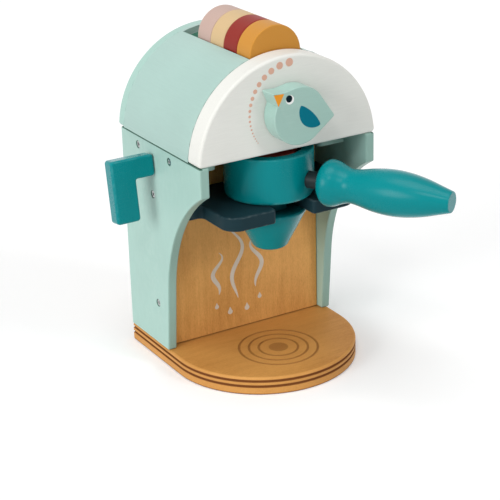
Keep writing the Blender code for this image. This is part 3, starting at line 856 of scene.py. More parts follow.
def finished(piece: bpy.types.Object) -> None:
    """Replaces a piece's mesh by what its modifiers make of it."""
    graph = bpy.context.evaluated_depsgraph_get()
    graph.update()
    made = bpy.data.meshes.new_from_object(piece.evaluated_get(graph))
    old = piece.data
    piece.modifiers.clear()
    piece.data = made
    made.name = piece.name
    bpy.data.meshes.remove(old)


def cut(piece: bpy.types.Object, tools: Iterable[Shape]) -> None:
    """Cuts shapes out of a piece.

    Args:
        piece: piece that is cut.
        tools: closed shapes that don't touch each other.
    """
    cutter = bare_object(f"{piece.name}_tool", joined(tools))
    change = piece.modifiers.new("cut", "BOOLEAN")
    change.operation = "DIFFERENCE"
    change.solver = "EXACT"
    change.object = cutter
    bpy.context.view_layer.update()
    finished(piece)
    mesh = cutter.data
    bpy.data.objects.remove(cutter)
    bpy.data.meshes.remove(mesh)


@dataclass
class Workshop:
    """Turns shapes into finished pieces on their bodies, with one material per finish."""

    finishes: dict[Slot, Finish]
    made: dict[object, bpy.types.Material] = field(default_factory=dict)
    pieces: int = 0

    def material(self, name: str, finish: Finish) -> bpy.types.Material:
        """Material of a finish, made once."""
        if name not in self.made:
            self.made[name] = finish.material(name)
        return self.made[name]

    def add(
        self,
        name: str,
        shape: Shape,
        body: Body,
        slot: Slot,
        node: str | None = None,
        finish: tuple[str, Finish] | None = None,
        tools: Sequence[Shape] = (),
        recess: Array | None = None,
        bevel: float = 0.0,
    ) -> bpy.types.Object:
        """Makes one piece.

        Args:
            name: name of the piece.
            shape: its closed surface.
            body: body that it rides on.
            slot: the record's slot that it takes its finish from.
            node: CAD node that it stands for.
            finish: name and finish of its own, where it differs from the slot's.
            tools: shapes that are cut out of it.
            recess: value per point that marks a recess.
            bevel: width of the rounding that closes a shape with sharp edges.

        Returns:
            The finished piece.
        """
        piece = bare_object(name, shape)
        if recess is not None:
            attribute(piece.data, "recess", recess)
        if tools:
            cut(piece, tools)
        if bevel:
            rounding = piece.modifiers.new("rounded edges", "BEVEL")
            rounding.width = bevel
            rounding.segments = 3
            rounding.limit_method = "ANGLE"
            rounding.angle_limit = SMOOTH_ANGLE
            finished(piece)
        piece.data.shade_smooth()
        piece.data.set_sharp_from_angle(angle=SMOOTH_ANGLE)
        attribute(piece.data, "edge", edge_share(piece.data))
        label, look = finish or (slot.value, self.finishes[slot])
        piece.data.materials.append(self.material(label, look))
        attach(piece, body.value)
        if node:
            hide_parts(node)
        self.pieces += 1
        log.info("%-24s %6d faces on %s", name, len(piece.data.polygons), body.value)
        return piece

    def keep(self, node: str, slot: Slot) -> None:
        """Gives a CAD node that stays its finish."""
        look = self.material(slot.value, self.finishes[slot])
        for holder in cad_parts[node].material_slots:
            holder.material = look
        log.info("%-24s kept with %s", node, slot.value)


# Sub-assemblies


@dataclass
class Screws:
    """Countersunk wood screws with a cross recess."""

    head_radius: float = 0.0027
    shank_radius: float = 0.0014
    cone: float = 0.0022
    tip: float = 0.0025
    sink: float = 0.0005
    recess_depth: float = 0.0011
    recess_arm: float = 0.0016
    recess_half_width: float = 0.00034
    recess_border: float = 0.00012
    recess_run_out: float = 0.0002
    recess_slope: float = 0.55
    crown: float = 0.00012
    rim: float = 0.0001
    rim_foot: float = 0.00025
    flare: float = 0.0004
    spins: int = 7
    spin_step: float = 0.41
    steps: int = 48

    def shape(self, length: float) -> tuple[Shape, Array]:
        """Screw along +Z with the middle of its head at the origin.

        The head's face lies at h(x, y) = crown (1 - (r / R)^2) - depth(r) a, where a is 1 inside a cross
        with two arms of a given half width and fades to 0 across a narrow border.

        Args:
            length: whole length.

        Returns:
            The shape and the recess share of each point.
        """
        near_recess = np.linspace(0, self.recess_arm * 1.25, 15)
        radii = np.concatenate((near_recess, [0.82 * self.head_radius, 0.95 * self.head_radius]))
        heights = np.zeros_like(radii)
        below = np.array(
            [
                (self.head_radius, -self.rim),
                (self.head_radius, -self.rim_foot),
                (self.shank_radius, -self.cone),
                (self.shank_radius, self.tip - length),
                (self.shank_radius / 3, -length),
                (0, -length),
            ]
        )
        profile = np.vstack((np.stack((radii, heights), -1), below))
        screw = revolve(profile, self.steps)
        points = screw.points.copy()
        x, y = points[:, 0], points[:, 1]
        r = np.hypot(x, y)
        top = points[:, 2] > -self.rim / 2
        arms = np.minimum(np.abs(x), np.abs(y))
        inside = 1 - np.clip((arms - self.recess_half_width) / self.recess_border, 0, 1)
        inside *= 1 - np.clip((r - self.recess_arm) / self.recess_run_out, 0, 1)
        depth = self.recess_depth * (1 - self.recess_slope * r / self.recess_arm)
        dome = self.crown * (1 - (r / self.head_radius) ** 2)
        points[:, 2] += top * (dome - inside * np.clip(depth, 0, None))
        return Shape(points, screw.quads, screw.triangles), top * inside

    def hole(self, length: float) -> Shape:
        """Countersunk hole with a small clearance, open at the head."""
        head = self.head_radius + SEAT_GAP / 2
        shank = self.shank_radius + SEAT_GAP
        profile = np.array(
            [
                (0, -length - SEAT_GAP),
                (shank, -length - SEAT_GAP),
                (shank, -self.cone),
                (head, -self.rim),
                (head + self.flare, self.sink + self.rim),
                (head + self.flare, CUT_OVERRUN),
                (0, CUT_OVERRUN),
            ]
        )
        return revolve(profile, self.steps // 2)

    def seat(self, place: Point, outward: Point, spin: float = 0.0) -> Matrix:
        """Place of a screw whose head lies just under a surface."""
        below = Vector(place) - Vector(outward) * self.sink
        return aimed(outward, tuple(below)) @ Matrix.Rotation(spin, 4, "Z")

    def add(
        self,
        shop: Workshop,
        name: str,
        place: Point,
        outward: Point,
        length: float,
        body: Body = Body.MACHINE,
    ) -> None:
        """Makes one screw in place of its CAD node.

        Args:
            shop: where pieces are made.
            name: name of the CAD node.
            place: point of the surface that the head is sunk into.
            outward: direction that the head faces.
            length: length of the screw.
            body: body that it rides on.
        """
        spin = sum(ord(letter) for letter in name) % self.spins * self.spin_step
        shape, recess = self.shape(length)
        shape = shape.moved(self.seat(place, outward, spin))
        shop.add(f"{name}_fine", shape, body, Slot.STEEL, node=name, recess=recess)

    def cutter(self, place: Point, outward: Point, length: float) -> Shape:
        """Hole of one screw, in place."""
        return self.hole(length).moved(self.seat(place, outward))


@dataclass
class BasePlate:
    """Plate with a half-round front, two grooves round its rim and burnt rings where a cup stands."""

    half_width: float = 0.0743
    thickness: float = 0.0143
    centre_y: float = 0.0466
    back_y: float = 0.1255
    top_round: float = 0.0020
    foot_chamfer: float = 0.0006
    groove_width: float = 0.0019
    groove_depth: float = 0.0012
    groove_drop: float = 0.0031
    groove_pitch: float = 0.0043
    ring_centre_y: float = 0.0216
    ring_pitch: float = 0.0077
    ring_count: int = 3
    ring_width: float = 0.0012
    ring_depth: float = 0.0003
    screw_x: float = 0.0705
    screw_ys: tuple[float, float] = (0.0752, 0.1135)
    screw_length: float = 0.0300
    mark_waver: float = 0.00035
    ring_mark: tuple[float, float] = (0.0014, 0.0006)
    ring_marks_start: tuple[float, float] = (1.4, 1.5)
    ring_marks_end: tuple[float, float] = (4.6, 4.5)
    dot_mark: tuple[float, float] = (0.0005, -0.0007)
    top_mark: tuple[float, float] = (-0.0012, -0.0008)
    groove_mark: tuple[float, float] = (0.0006, -0.0003)
    foot_mark: float = 0.0007
    mark_shares: tuple[float, float, float, float] = (0.55, 0.9, 0.95, 0.85)
    groove_steps: int = 10
    ring_steps: int = 128
    steps: int = 120
    screws: Screws = field(default_factory=Screws)

    def levels(self) -> Array:
        """(height, inset) pairs up the rim: each groove is half an ellipse, inset = depth sqrt(1 - s^2)."""
        across = -np.cos(np.linspace(0, pi, self.groove_steps + 1))
        inset = self.groove_depth * np.sqrt(1 - across**2)
        runs = [np.array([(0.0, self.foot_chamfer), (self.foot_chamfer, 0.0)])]
        for i in (1, 0):
            middle = self.thickness - self.groove_drop - i * self.groove_pitch
            runs.append(np.stack((middle + across * self.groove_width / 2, inset), -1))
        top = arc((self.thickness - self.top_round, self.top_round), self.top_round, -pi / 2, 0, ARC_STEPS)
        return np.vstack((*runs, top, (self.thickness, self.top_round + SUPPORT)))

    def shape(self) -> Shape:
        """Plate whose rings are half circles with straight sides, drawn in by the inset of their level."""
        levels = self.levels()
        turn = np.linspace(pi, 2 * pi, self.steps + 1)
        radius = self.half_width - levels[:, 1, None]
        front_x = radius * np.cos(turn)
        front_y = self.centre_y + radius * np.sin(turn)
        back = np.full_like(radius, self.back_y)
        x = np.hstack((-radius, front_x, radius))
        y = np.hstack((back, front_y, back))
        return skin(along(Axis.Z, x, y, levels[:, 0, None]))

    def ring_tools(self) -> list[Shape]:
        """Shallow rings round the cup's place, at even steps of radius."""
        tools = []
        for i in range(self.ring_count):
            radius = (i + 2) * self.ring_pitch
            half = self.ring_width / 2
            profile = np.array(
                [
                    (radius - half * 0.55, -self.ring_depth),
                    (radius + half * 0.55, -self.ring_depth),
                    (radius + half * 1.25, CUT_OVERRUN / 8),
                    (radius - half * 1.25, CUT_OVERRUN / 8),
                ]
            )
            tool = ring_tool(profile, self.ring_steps)
            tools.append(tool.moved(Matrix.Translation((0, self.ring_centre_y, self.thickness))))
        return tools

    def screw_places(self) -> list[tuple[str, Point]]:
        """Names and places of the four screws into the side panels' feet."""
        return [
            (f"foot_screw_{end}_{side.word}", (side.value * self.screw_x, y, 0.0))
            for side in Side
            for end, y in zip(("front", "back"), self.screw_ys)
        ]

    def burnt(self, graph: Graph, place: Wire) -> Wire:
        """Mask of the burnt rings and dot on the top and burnt grooves on the rim, and of the dark foot line
        on the rim.

        Args:
            graph: node tree of the stain.
            place: coordinates in metres.

        Returns:
            The mask.
        """
        height = graph.coordinate(place, Axis.Z)
        flat = graph.scaled(place, (1, 1, 0))
        waver = self.mark_waver * (graph.noise(place, 420, 2) - 0.5)
        radius = graph.distance(flat, (0, self.ring_centre_y, 0)) + waver
        pitch = self.ring_pitch
        on_top_share, dot_share, rim_share, foot_share = self.mark_shares
        off_ring = abs((radius + pitch / 2) % pitch - pitch / 2)
        rings = off_ring.ramp(*self.ring_mark)
        for limits in (self.ring_marks_start, self.ring_marks_end):
            rings = rings * radius.ramp(*(limit * pitch for limit in limits))
        dot = dot_share * radius.ramp(*(pitch + offset for offset in self.dot_mark))
        on_top = height.ramp(*(self.thickness + offset for offset in self.top_mark))
        upper = self.thickness - self.groove_drop
        grooves = abs(height - upper).at_most(abs(height - (upper - self.groove_pitch)))
        rim = grooves.ramp(*(self.groove_width / 2 + offset for offset in self.groove_mark))
        foot = height.ramp(self.foot_chamfer + self.foot_mark, self.foot_chamfer)
        top_marks = rings.at_least(dot) * on_top * on_top_share
        return top_marks.at_least(rim_share * rim).at_least(foot_share * foot)

    def build(self, shop: Workshop) -> None:
        """Makes the plate and its four screws."""
        places = self.screw_places()
        tools = self.ring_tools()
        tools += [self.screws.cutter(place, (0, 0, -1), self.screw_length) for _, place in places]
        shop.add("base_plate_fine", self.shape(), Body.MACHINE, Slot.BASE, "base_plate", tools=tools)
        for name, place in places:
            self.screws.add(shop, name, place, (0, 0, -1), self.screw_length)


@dataclass
class SidePanels:
    """Two thin panels with an overhanging head and a hollow throat."""

    half_width: float = 0.075
    thickness: float = 0.0073
    seam_z: float = 0.1818
    seat_z: float = 0.0146
    back_y: float = 0.1255
    throat_centre: tuple[float, float] = (-0.0566, 0.058619)
    throat_radius: float = 0.1155
    foot_lean: float = radians(5)
    edge: float = 0.0010
    corner: float = 0.0014
    screw_places: tuple[tuple[str, float, float], ...] = (
        ("board_screw_front", 0.0475, 0.1745),
        ("board_screw_back", 0.0975, 0.1745),
        ("panel_screw_upper", 0.0768, 0.1404),
        ("panel_screw_lower", 0.0768, 0.0503),
    )
    screw_length: float = 0.0220
    lever_pivot: tuple[float, float] = (0.0777, 0.1660)
    lever_screw_length: float = 0.0200
    seam_start: tuple[float, float] = (0.0003, 0.0002)
    seam_end: tuple[float, float] = (-0.0010, -0.0005)
    countersink_line: tuple[float, float] = (0.0006, 0.0003)
    outer_skin: tuple[float, float] = (-0.0025, -0.0020)
    front_edge: tuple[float, float] = (0.0008, 0.0004)
    line_share: float = 0.9
    front_share: float = 0.26
    throat_steps: int = 56
    screws: Screws = field(default_factory=Screws)

    def shadow_lines(self, graph: Graph, place: Wire) -> Wire:
        """Mask of painted shade: the dark seam under the dome, the dark countersinks and the darker front
        edges.

        Args:
            graph: node tree of the paint.
            place: coordinates in metres.

        Returns:
            The mask.
        """
        height = graph.coordinate(place, Axis.Z)
        under, above = (
            height.ramp(*(self.seam_z + offset for offset in offsets))
            for offsets in (self.seam_start, self.seam_end)
        )
        # Painted shade: a dark line in the seam under the dome, then dark rings round the countersinks.
        lines = under * above
        flat = graph.scaled(place, (0, 1, 1))
        rim = [self.screws.head_radius + offset for offset in self.countersink_line]
        for _, y, z in self.screw_places:
            lines = lines.at_least(graph.distance(flat, (0, y, z)).ramp(*rim))
        across = abs(graph.coordinate(place, Axis.X))
        outside = across.ramp(*(self.half_width + offset for offset in self.outer_skin))
        front = self.front_edges(graph, place, flat)
        return (self.line_share * lines * outside).at_least(self.front_share * front)

    def front_edges(self, graph: Graph, place: Wire, flat: Wire) -> Wire:
        """Mask of painted shade on the head's front, the throat and the foot's front: what lies at their
        line, not behind it.

        Args:
            graph: node tree of the paint.
            place: coordinates in metres.
            flat: the same with x at 0.

        Returns:
            The mask.
        """
        y, z = (graph.coordinate(place, axis) for axis in (Axis.Y, Axis.Z))
        far, near = self.front_edge
        radius = self.throat_radius
        centre_y, centre_z = self.throat_centre
        lean_y, lean_z = cos(self.foot_lean), sin(self.foot_lean)
        # Painted shade on the front-facing edges, which get less light than the sides.
        head = y.ramp(far, near)
        throat = graph.distance(flat, (0, *self.throat_centre)).ramp(radius + far, radius + near)
        reach = (y - centre_y) * lean_y + (z - centre_z) * lean_z
        below = z.ramp(centre_z + radius * lean_z + near, centre_z + radius * lean_z)
        foot = below * reach.ramp(radius + far, radius + near)
        return head.at_least(throat).at_least(foot)

    def outline(self) -> Array:
        """Panel in (y, z): the throat is one arc whose lower tangent leans into the foot."""
        lip = acos(-self.throat_centre[0] / self.throat_radius)
        throat = arc(self.throat_centre, self.throat_radius, lip, self.foot_lean, self.throat_steps)
        foot_y = throat[-1, 0] + (throat[-1, 1] - self.seat_z) * tan(self.foot_lean)
        corners = [
            (0.0, self.seam_z, self.corner),
            (0.0, float(throat[0, 1]), self.corner),
            *sharp(throat[1:]),
            (foot_y, self.seat_z, self.corner),
            (self.back_y, self.seat_z, self.corner),
            (self.back_y, self.seam_z, self.corner),
        ]
        return rounded(corners)

    def build(self, shop: Workshop) -> None:
        """Makes both panels with their screws; the left one also has the lever's screw hole."""
        for side in Side:
            outer = side.value * self.half_width
            inner = side.value * (self.half_width - self.thickness)
            shape = slab(self.outline(), min(outer, inner), max(outer, inner), Axis.X, self.edge)
            outward = (side.value, 0, 0)
            places = [(f"{name}_{side.word}", (outer, y, z)) for name, y, z in self.screw_places]
            tools = [self.screws.cutter(place, outward, self.screw_length) for _, place in places]
            if side is Side.LEFT:
                pivot = (inner, *self.lever_pivot)
                tools.append(self.screws.cutter(pivot, (1, 0, 0), self.lever_screw_length))
            name = f"side_panel_{side.word}"
            shop.add(f"{name}_fine", shape, Body.MACHINE, Slot.MINT, name, tools=tools)
            for screw, place in places:
                self.screws.add(shop, screw, place, outward, self.screw_length)


@dataclass
class Boards:
    """Back panel, top board and fork shelf between the side panels."""

    half_width: float = 0.0674
    panel_y: tuple[float, float] = (0.0698, 0.0838)
    panel_z: tuple[float, float] = (0.0146, 0.1672)
    board_edge: float = 0.0008
    board_z: tuple[float, float] = (0.1675, 0.1815)
    board_y: tuple[float, float] = (0.0300, 0.1150)
    notch_half_width: float = 0.0450
    notch_back_y: float = 0.0700
    notch_corner: float = 0.0160
    lug_corner: float = 0.0035
    fork_z: tuple[float, float] = (0.1303, 0.1413)
    fork_front_y: float = -0.0065
    fork_back_y: float = 0.0695
    fork_half_width: float = 0.0565
    fork_corner: float = 0.0130
    fork_shoulder_y: float = 0.0340
    fork_shoulder_radius: float = 0.0040
    fork_edge: float = 0.0014
    slot_half: float = 0.0160
    slot_centre_y: float = 0.0305
    mouth_corner: float = 0.0030
    fork_screw_x: float = 0.0400
    fork_screw_length: float = 0.0320
    foot_mark: tuple[float, float] = (0.0012, 0.0004)
    foot_share: float = 0.8
    slot_steps: int = 36
    screws: Screws = field(default_factory=Screws)

    def foot_line(self, graph: Graph, place: Wire) -> Wire:
        """Mask of the dark line where the back panel stands on the base plate."""
        height = graph.coordinate(place, Axis.Z)
        return self.foot_share * height.ramp(*(self.panel_z[0] + offset for offset in self.foot_mark))

    def fork_outline(self) -> Array:
        """Fork in (x, y): rounded prongs, shoulders between the panels, a slot with a half-round end."""
        half = [
            (self.slot_half, self.fork_front_y, self.mouth_corner),
            (self.fork_half_width, self.fork_front_y, self.fork_corner),
            (self.fork_half_width, self.fork_shoulder_y, self.fork_shoulder_radius),
            (self.half_width, self.fork_shoulder_y, 0.0),
            (self.half_width, self.fork_back_y, 0.0),
        ]
        end = arc((0.0, self.slot_centre_y), self.slot_half, pi, 0, self.slot_steps)
        return rounded(mirrored(half) + sharp(end), 2 * ARC_STEPS)

    def board_outline(self) -> Array:
        """Top board in (x, y) with its round-cornered recess."""
        half = [
            (self.notch_half_width, self.notch_back_y, self.notch_corner),
            (self.notch_half_width, self.board_y[0], self.lug_corner),
            (self.half_width, self.board_y[0], 0.0),
            (self.half_width, self.board_y[1], 0.0),
        ]
        return rounded(mirrored(half), 2 * ARC_STEPS)

    def build(self, shop: Workshop) -> None:
        """Makes the three boards and the two screws behind the fork."""
        (low, high), wide = self.panel_z, self.half_width
        outline = np.array([(-wide, low), (wide, low), (wide, high), (-wide, high)])
        panel = slab(outline, *self.panel_y, Axis.Y, self.board_edge)
        board = slab(self.board_outline(), *self.board_z, Axis.Z, self.board_edge)
        fork = slab(self.fork_outline(), *self.fork_z, Axis.Z, self.fork_edge)
        screw_z = sum(self.fork_z) / 2
        places = [
            (f"fork_screw_{side.word}", (side.value * self.fork_screw_x, self.panel_y[1], screw_z))
            for side in Side
        ]
        tools = [self.screws.cutter(place, (0, 1, 0), self.fork_screw_length) for _, place in places]
        shop.add("back_panel_fine", panel, Body.MACHINE, Slot.STAINED, "back_panel", tools=tools)
        shop.add("top_board_fine", board, Body.MACHINE, Slot.MINT, "top_board")
        shop.add("fork_shelf_fine", fork, Body.MACHINE, Slot.NAVY, "fork_shelf")
        for name, place in places:
            self.screws.add(shop, name, place, (0, 1, 0), self.fork_screw_length)


@dataclass
class Dome:
    """Half-round dome: thick front and back panels, a bent shell between them, open along the pod slot."""

    radius: float = 0.0760
    centre_z: float = 0.1779
    foot_z: float = 0.1821
    corner: float = 0.0030
    front_thickness: float = 0.0162
    rim_round: float = 0.0022
    back_round: float = 0.0003
    depth: float = 0.1285
    rear_rim: float = 0.0100
    rear_thickness: float = 0.0140
    shell_radius: float = 0.0761
    shell_bore: float = 0.0715
    shell_foot_z: float = 0.1832
    ledge_radius: float = 0.0712
    lip_width: float = 0.0100
    lip_depth: float = 0.0050
    slot_half_width: float = 0.0230
    tray_half_width: float = 0.0270
    tray_floor_z: float = 0.2286
    tray_floor_thickness: float = 0.0060
    knob_z: float = 0.2122
    knob_screw_length: float = 0.0260
    rib_root: float = 0.001
    disc_root: float = 0.004
    shell_support: float = 0.0009
    shell_run: float = 0.02
    shell_bevel: float = 0.0003
    slot_end_mark: tuple[float, float] = (0.0012, 0.0008)
    slot_end_paint: Colour = (136, 214, 190)
    crown_steps: int = 110
    rib_steps: int = 30
    flank_steps: int = 36
    middle_steps: int = 14
    screws: Screws = field(default_factory=Screws)

    def panel_outline(self) -> Array:
        """Dome panel in (x, z): a circle cut flat at its foot, with rounded corners."""
        rise = asin((self.foot_z - self.centre_z) / self.radius)
        clear = 1.4 * self.corner / self.radius
        crown = arc((0.0, self.centre_z), self.radius, rise + clear, pi - rise - clear, self.crown_steps)
        foot = self.radius * cos(rise)
        return rounded([(-foot, self.foot_z, self.corner), (foot, self.foot_z, self.corner), *sharp(crown)])

    def foot_angle(self, radius: float, height: float) -> float:
        """Angle at which a circle about the dome's axis comes down to a height."""
        return asin((height - self.centre_z) / radius)

    def rib(self, side: Side) -> Shape:
        """Curved rib behind the front panel that the shell lies on."""
        side_x = self.tray_half_width + SEAT_GAP
        outer, inner = (
            arc(
                (0.0, self.centre_z),
                radius,
                self.foot_angle(radius, self.foot_z),
                acos(side_x / radius),
                self.rib_steps,
            )
            for radius in (self.ledge_radius, self.ledge_radius - self.lip_width)
        )
        outline = np.vstack((outer, inner[::-1])) * np.array([side.value, 1])
        start = self.front_thickness - self.rib_root
        end = self.front_thickness + self.lip_depth
        return slab(outline, start, end, Axis.Y, 0.0, SMALL_EDGE)

    def rear_disc(self) -> Shape:
        """Inner disc of the back panel, which carries the shell's rear end."""
        rise = self.foot_angle(self.ledge_radius, self.foot_z)
        outline = arc((0.0, self.centre_z), self.ledge_radius, rise, pi - rise, self.crown_steps)
        start = self.depth - self.rear_thickness
        return slab(outline, start, self.depth - self.disc_root, Axis.Y, SMALL_EDGE, 0.0)

    def slot_end(self, graph: Graph, place: Wire) -> Wire:
        """Mask of the inner disc's face, where a painted bounce light makes the mint greener."""
        inner = self.depth - self.rear_thickness
        depth = graph.coordinate(place, Axis.Y)
        return depth.ramp(*(inner + offset for offset in self.slot_end_mark))

    def shell(self) -> Shape:
        """Bent sheet with the slot left out.

        Outer and inner points are a grid (angle, y); the cells of the slot are dropped, and every edge with
        a kept cell on one side only gets a wall between the outer and the inner grid.

        Returns:
            The closed sheet, with sharp edges.
        """
        front = self.front_thickness + SEAT_GAP / 2
        slot_end = self.depth - self.rear_thickness
        back = self.depth - self.rear_rim - SEAT_GAP / 2
        near = self.shell_support
        y = np.concatenate(
            (
                [front, front + near],
                np.linspace(front + self.shell_run, slot_end - self.shell_run, 4),
                [slot_end - near, slot_end, slot_end + near, back - near, back],
            )
        )
        sheets = []
        for radius in (self.shell_radius, self.shell_bore):
            foot = self.foot_angle(radius, self.shell_foot_z)
            edge = acos(self.slot_half_width / radius)
            step = near / radius
            flank = np.concatenate(([foot], np.linspace(foot + step, edge - step, self.flank_steps), [edge]))
            bridge = np.linspace(edge + 2 * step, pi - edge - 2 * step, self.middle_steps)
            turn = np.concatenate((flank, [edge + step], bridge, [pi - edge - step], pi - flank[::-1]))
            x = radius * np.cos(turn)[:, None]
            z = self.centre_z + radius * np.sin(turn)[:, None]
            sheets.append(along(Axis.Y, x, z, y[None]))
        across, deep = sheets[0].shape[:2]
        kept = np.ones((across - 1, deep - 1), bool)
        flank_cells = self.flank_steps + 1
        kept[flank_cells:-flank_cells, y[:-1] < slot_end - near / 2] = False
        outer = np.arange(across * deep).reshape(across, deep)
        cells = np.stack((outer[:-1, :-1], outer[1:, :-1], outer[1:, 1:], outer[:-1, 1:]), -1)[kept]
        faces = [cells, (cells + across * deep)[:, ::-1]]
        padded = np.pad(kept, 1)
        edges = (
            (padded[:-1, 1:-1], padded[1:, 1:-1], outer[:, :-1], outer[:, 1:], True),
            (padded[1:-1, :-1], padded[1:-1, 1:], outer[:-1, :], outer[1:, :], False),
        )
        for before, after, start, stop, turned in edges:
            for rim, flip in ((after & ~before, turned), (before & ~after, not turned)):
                a, b = start[rim], stop[rim]
                wall = np.stack((a, b, b + across * deep, a + across * deep), -1)
                faces.append(wall[:, ::-1] if flip else wall)
        used, quads = np.unique(np.vstack(faces), return_inverse=True)
        points = np.vstack([sheet.reshape(-1, 3) for sheet in sheets])[used]
        return Shape(points, quads.reshape(-1, 4)).outward()

    def tray(self) -> dict[str, Shape]:
        """Floor and two walls that hold the pods in a row."""
        start = self.front_thickness + SEAT_GAP
        end = self.depth - self.rear_thickness - SEAT_GAP
        high = self.tray_floor_z
        low = high - self.tray_floor_thickness
        wide, slot = self.tray_half_width, self.slot_half_width
        floor = np.array([(-wide, low), (wide, low), (wide, high), (-wide, high)])
        foot = high + SEAT_GAP
        inner_top = self.centre_z + sqrt(self.ledge_radius**2 - slot**2)
        outer_top = self.centre_z + sqrt(self.ledge_radius**2 - wide**2)
        wall = np.array([(slot, foot), (wide, foot), (wide, outer_top), (slot, inner_top)])
        shapes = {"tray_floor": slab(floor, start, end, Axis.Y, SMALL_EDGE)}
        for side in Side:
            outline = wall * np.array([side.value, 1])
            shapes[f"tray_wall_{side.word}"] = slab(outline, start, end, Axis.Y, SMALL_EDGE)
        return shapes

    def build(self, shop: Workshop) -> None:
        """Makes the panels, the shell and the tray."""
        outline = self.panel_outline()
        front = slab(outline, 0.0, self.front_thickness, Axis.Y, self.rim_round, self.back_round)
        hole = self.screws.cutter((0, self.front_thickness, self.knob_z), (0, 1, 0), self.knob_screw_length)
        front_piece = front + self.rib(Side.LEFT) + self.rib(Side.RIGHT)
        shop.add("dome_front_fine", front_piece, Body.MACHINE, Slot.WHITE, "dome_front_panel", tools=[hole])
        back = slab(outline, self.depth, self.depth - self.rear_rim, Axis.Y, self.rim_round, self.back_round)
        mint = shop.finishes[Slot.MINT]
        # Painted bounce light: the inner disc's face gets a greener mint.
        back_finish = ("back_paint", replace(mint, marks=self.slot_end, marked=self.slot_end_paint))
        shell_finish = ("shell_paint", SHELL_PAINT)
        rear = (("dome_back_fine", back + self.rear_disc(), "dome_back_panel", back_finish, 0.0),
                ("dome_shell_fine", self.shell(), "dome_shell", shell_finish, self.shell_bevel))
        for name, shape, node, finish, bevel in rear:
            shop.add(name, shape, Body.MACHINE, Slot.MINT, node, finish=finish, bevel=bevel)
        for name, shape in self.tray().items():
            shop.add(f"{name}_fine", shape, Body.MACHINE, Slot.MINT, name, finish=("tray_paint", TRAY_SHADED_PAINT))
        for side in Side:
            for end in ("front", "back"):
                shop.keep(f"dome_pin_{end}_{side.word}", Slot.PLAIN_WOOD)


@dataclass
class Pods:
    """Coffee pods: thick painted discs."""

    radius: float = 0.0216
    thickness: float = 0.0189
    edge: float = 0.0009
    first_y: float = 0.0175
    pitch: float = 0.0193
    centre_z: float = 0.2505
    bowl_place: Point = (0.0, 0.0305, 0.1659)
    steps: int = 96

    def shape(self) -> Shape:
        """Disc about +Z with rounded rims."""
        half, radius = self.thickness / 2, self.radius
        profile = [(0, -half, 0), (radius, -half, self.edge), (radius, half, self.edge), (0, half, 0)]
        return revolve(rounded(profile), self.steps)

    def build(self, shop: Workshop) -> None:
        """Makes the four pods in the slot and the one in the cup."""
        row = (
            ("ochre", Body.OCHRE_POD, Slot.OCHRE),
            ("red", Body.RED_POD, Slot.RED),
            ("cream", Body.CREAM_POD, Slot.CREAM),
            ("pink", Body.PINK_POD, Slot.PINK),
        )
        for i, (word, body, slot) in enumerate(row):
            middle = self.first_y + i * self.pitch + self.thickness / 2
            shape = self.shape().moved(aimed((0, 1, 0), (0, middle, self.centre_z)))
            shop.add(f"pod_{word}_fine", shape, body, slot, f"pod_{word}")
        shape = self.shape().moved(Matrix.Translation(self.bowl_place))
        shop.add("pod_rust_fine", shape, Body.RUST_POD, Slot.RUST, "pod_rust")


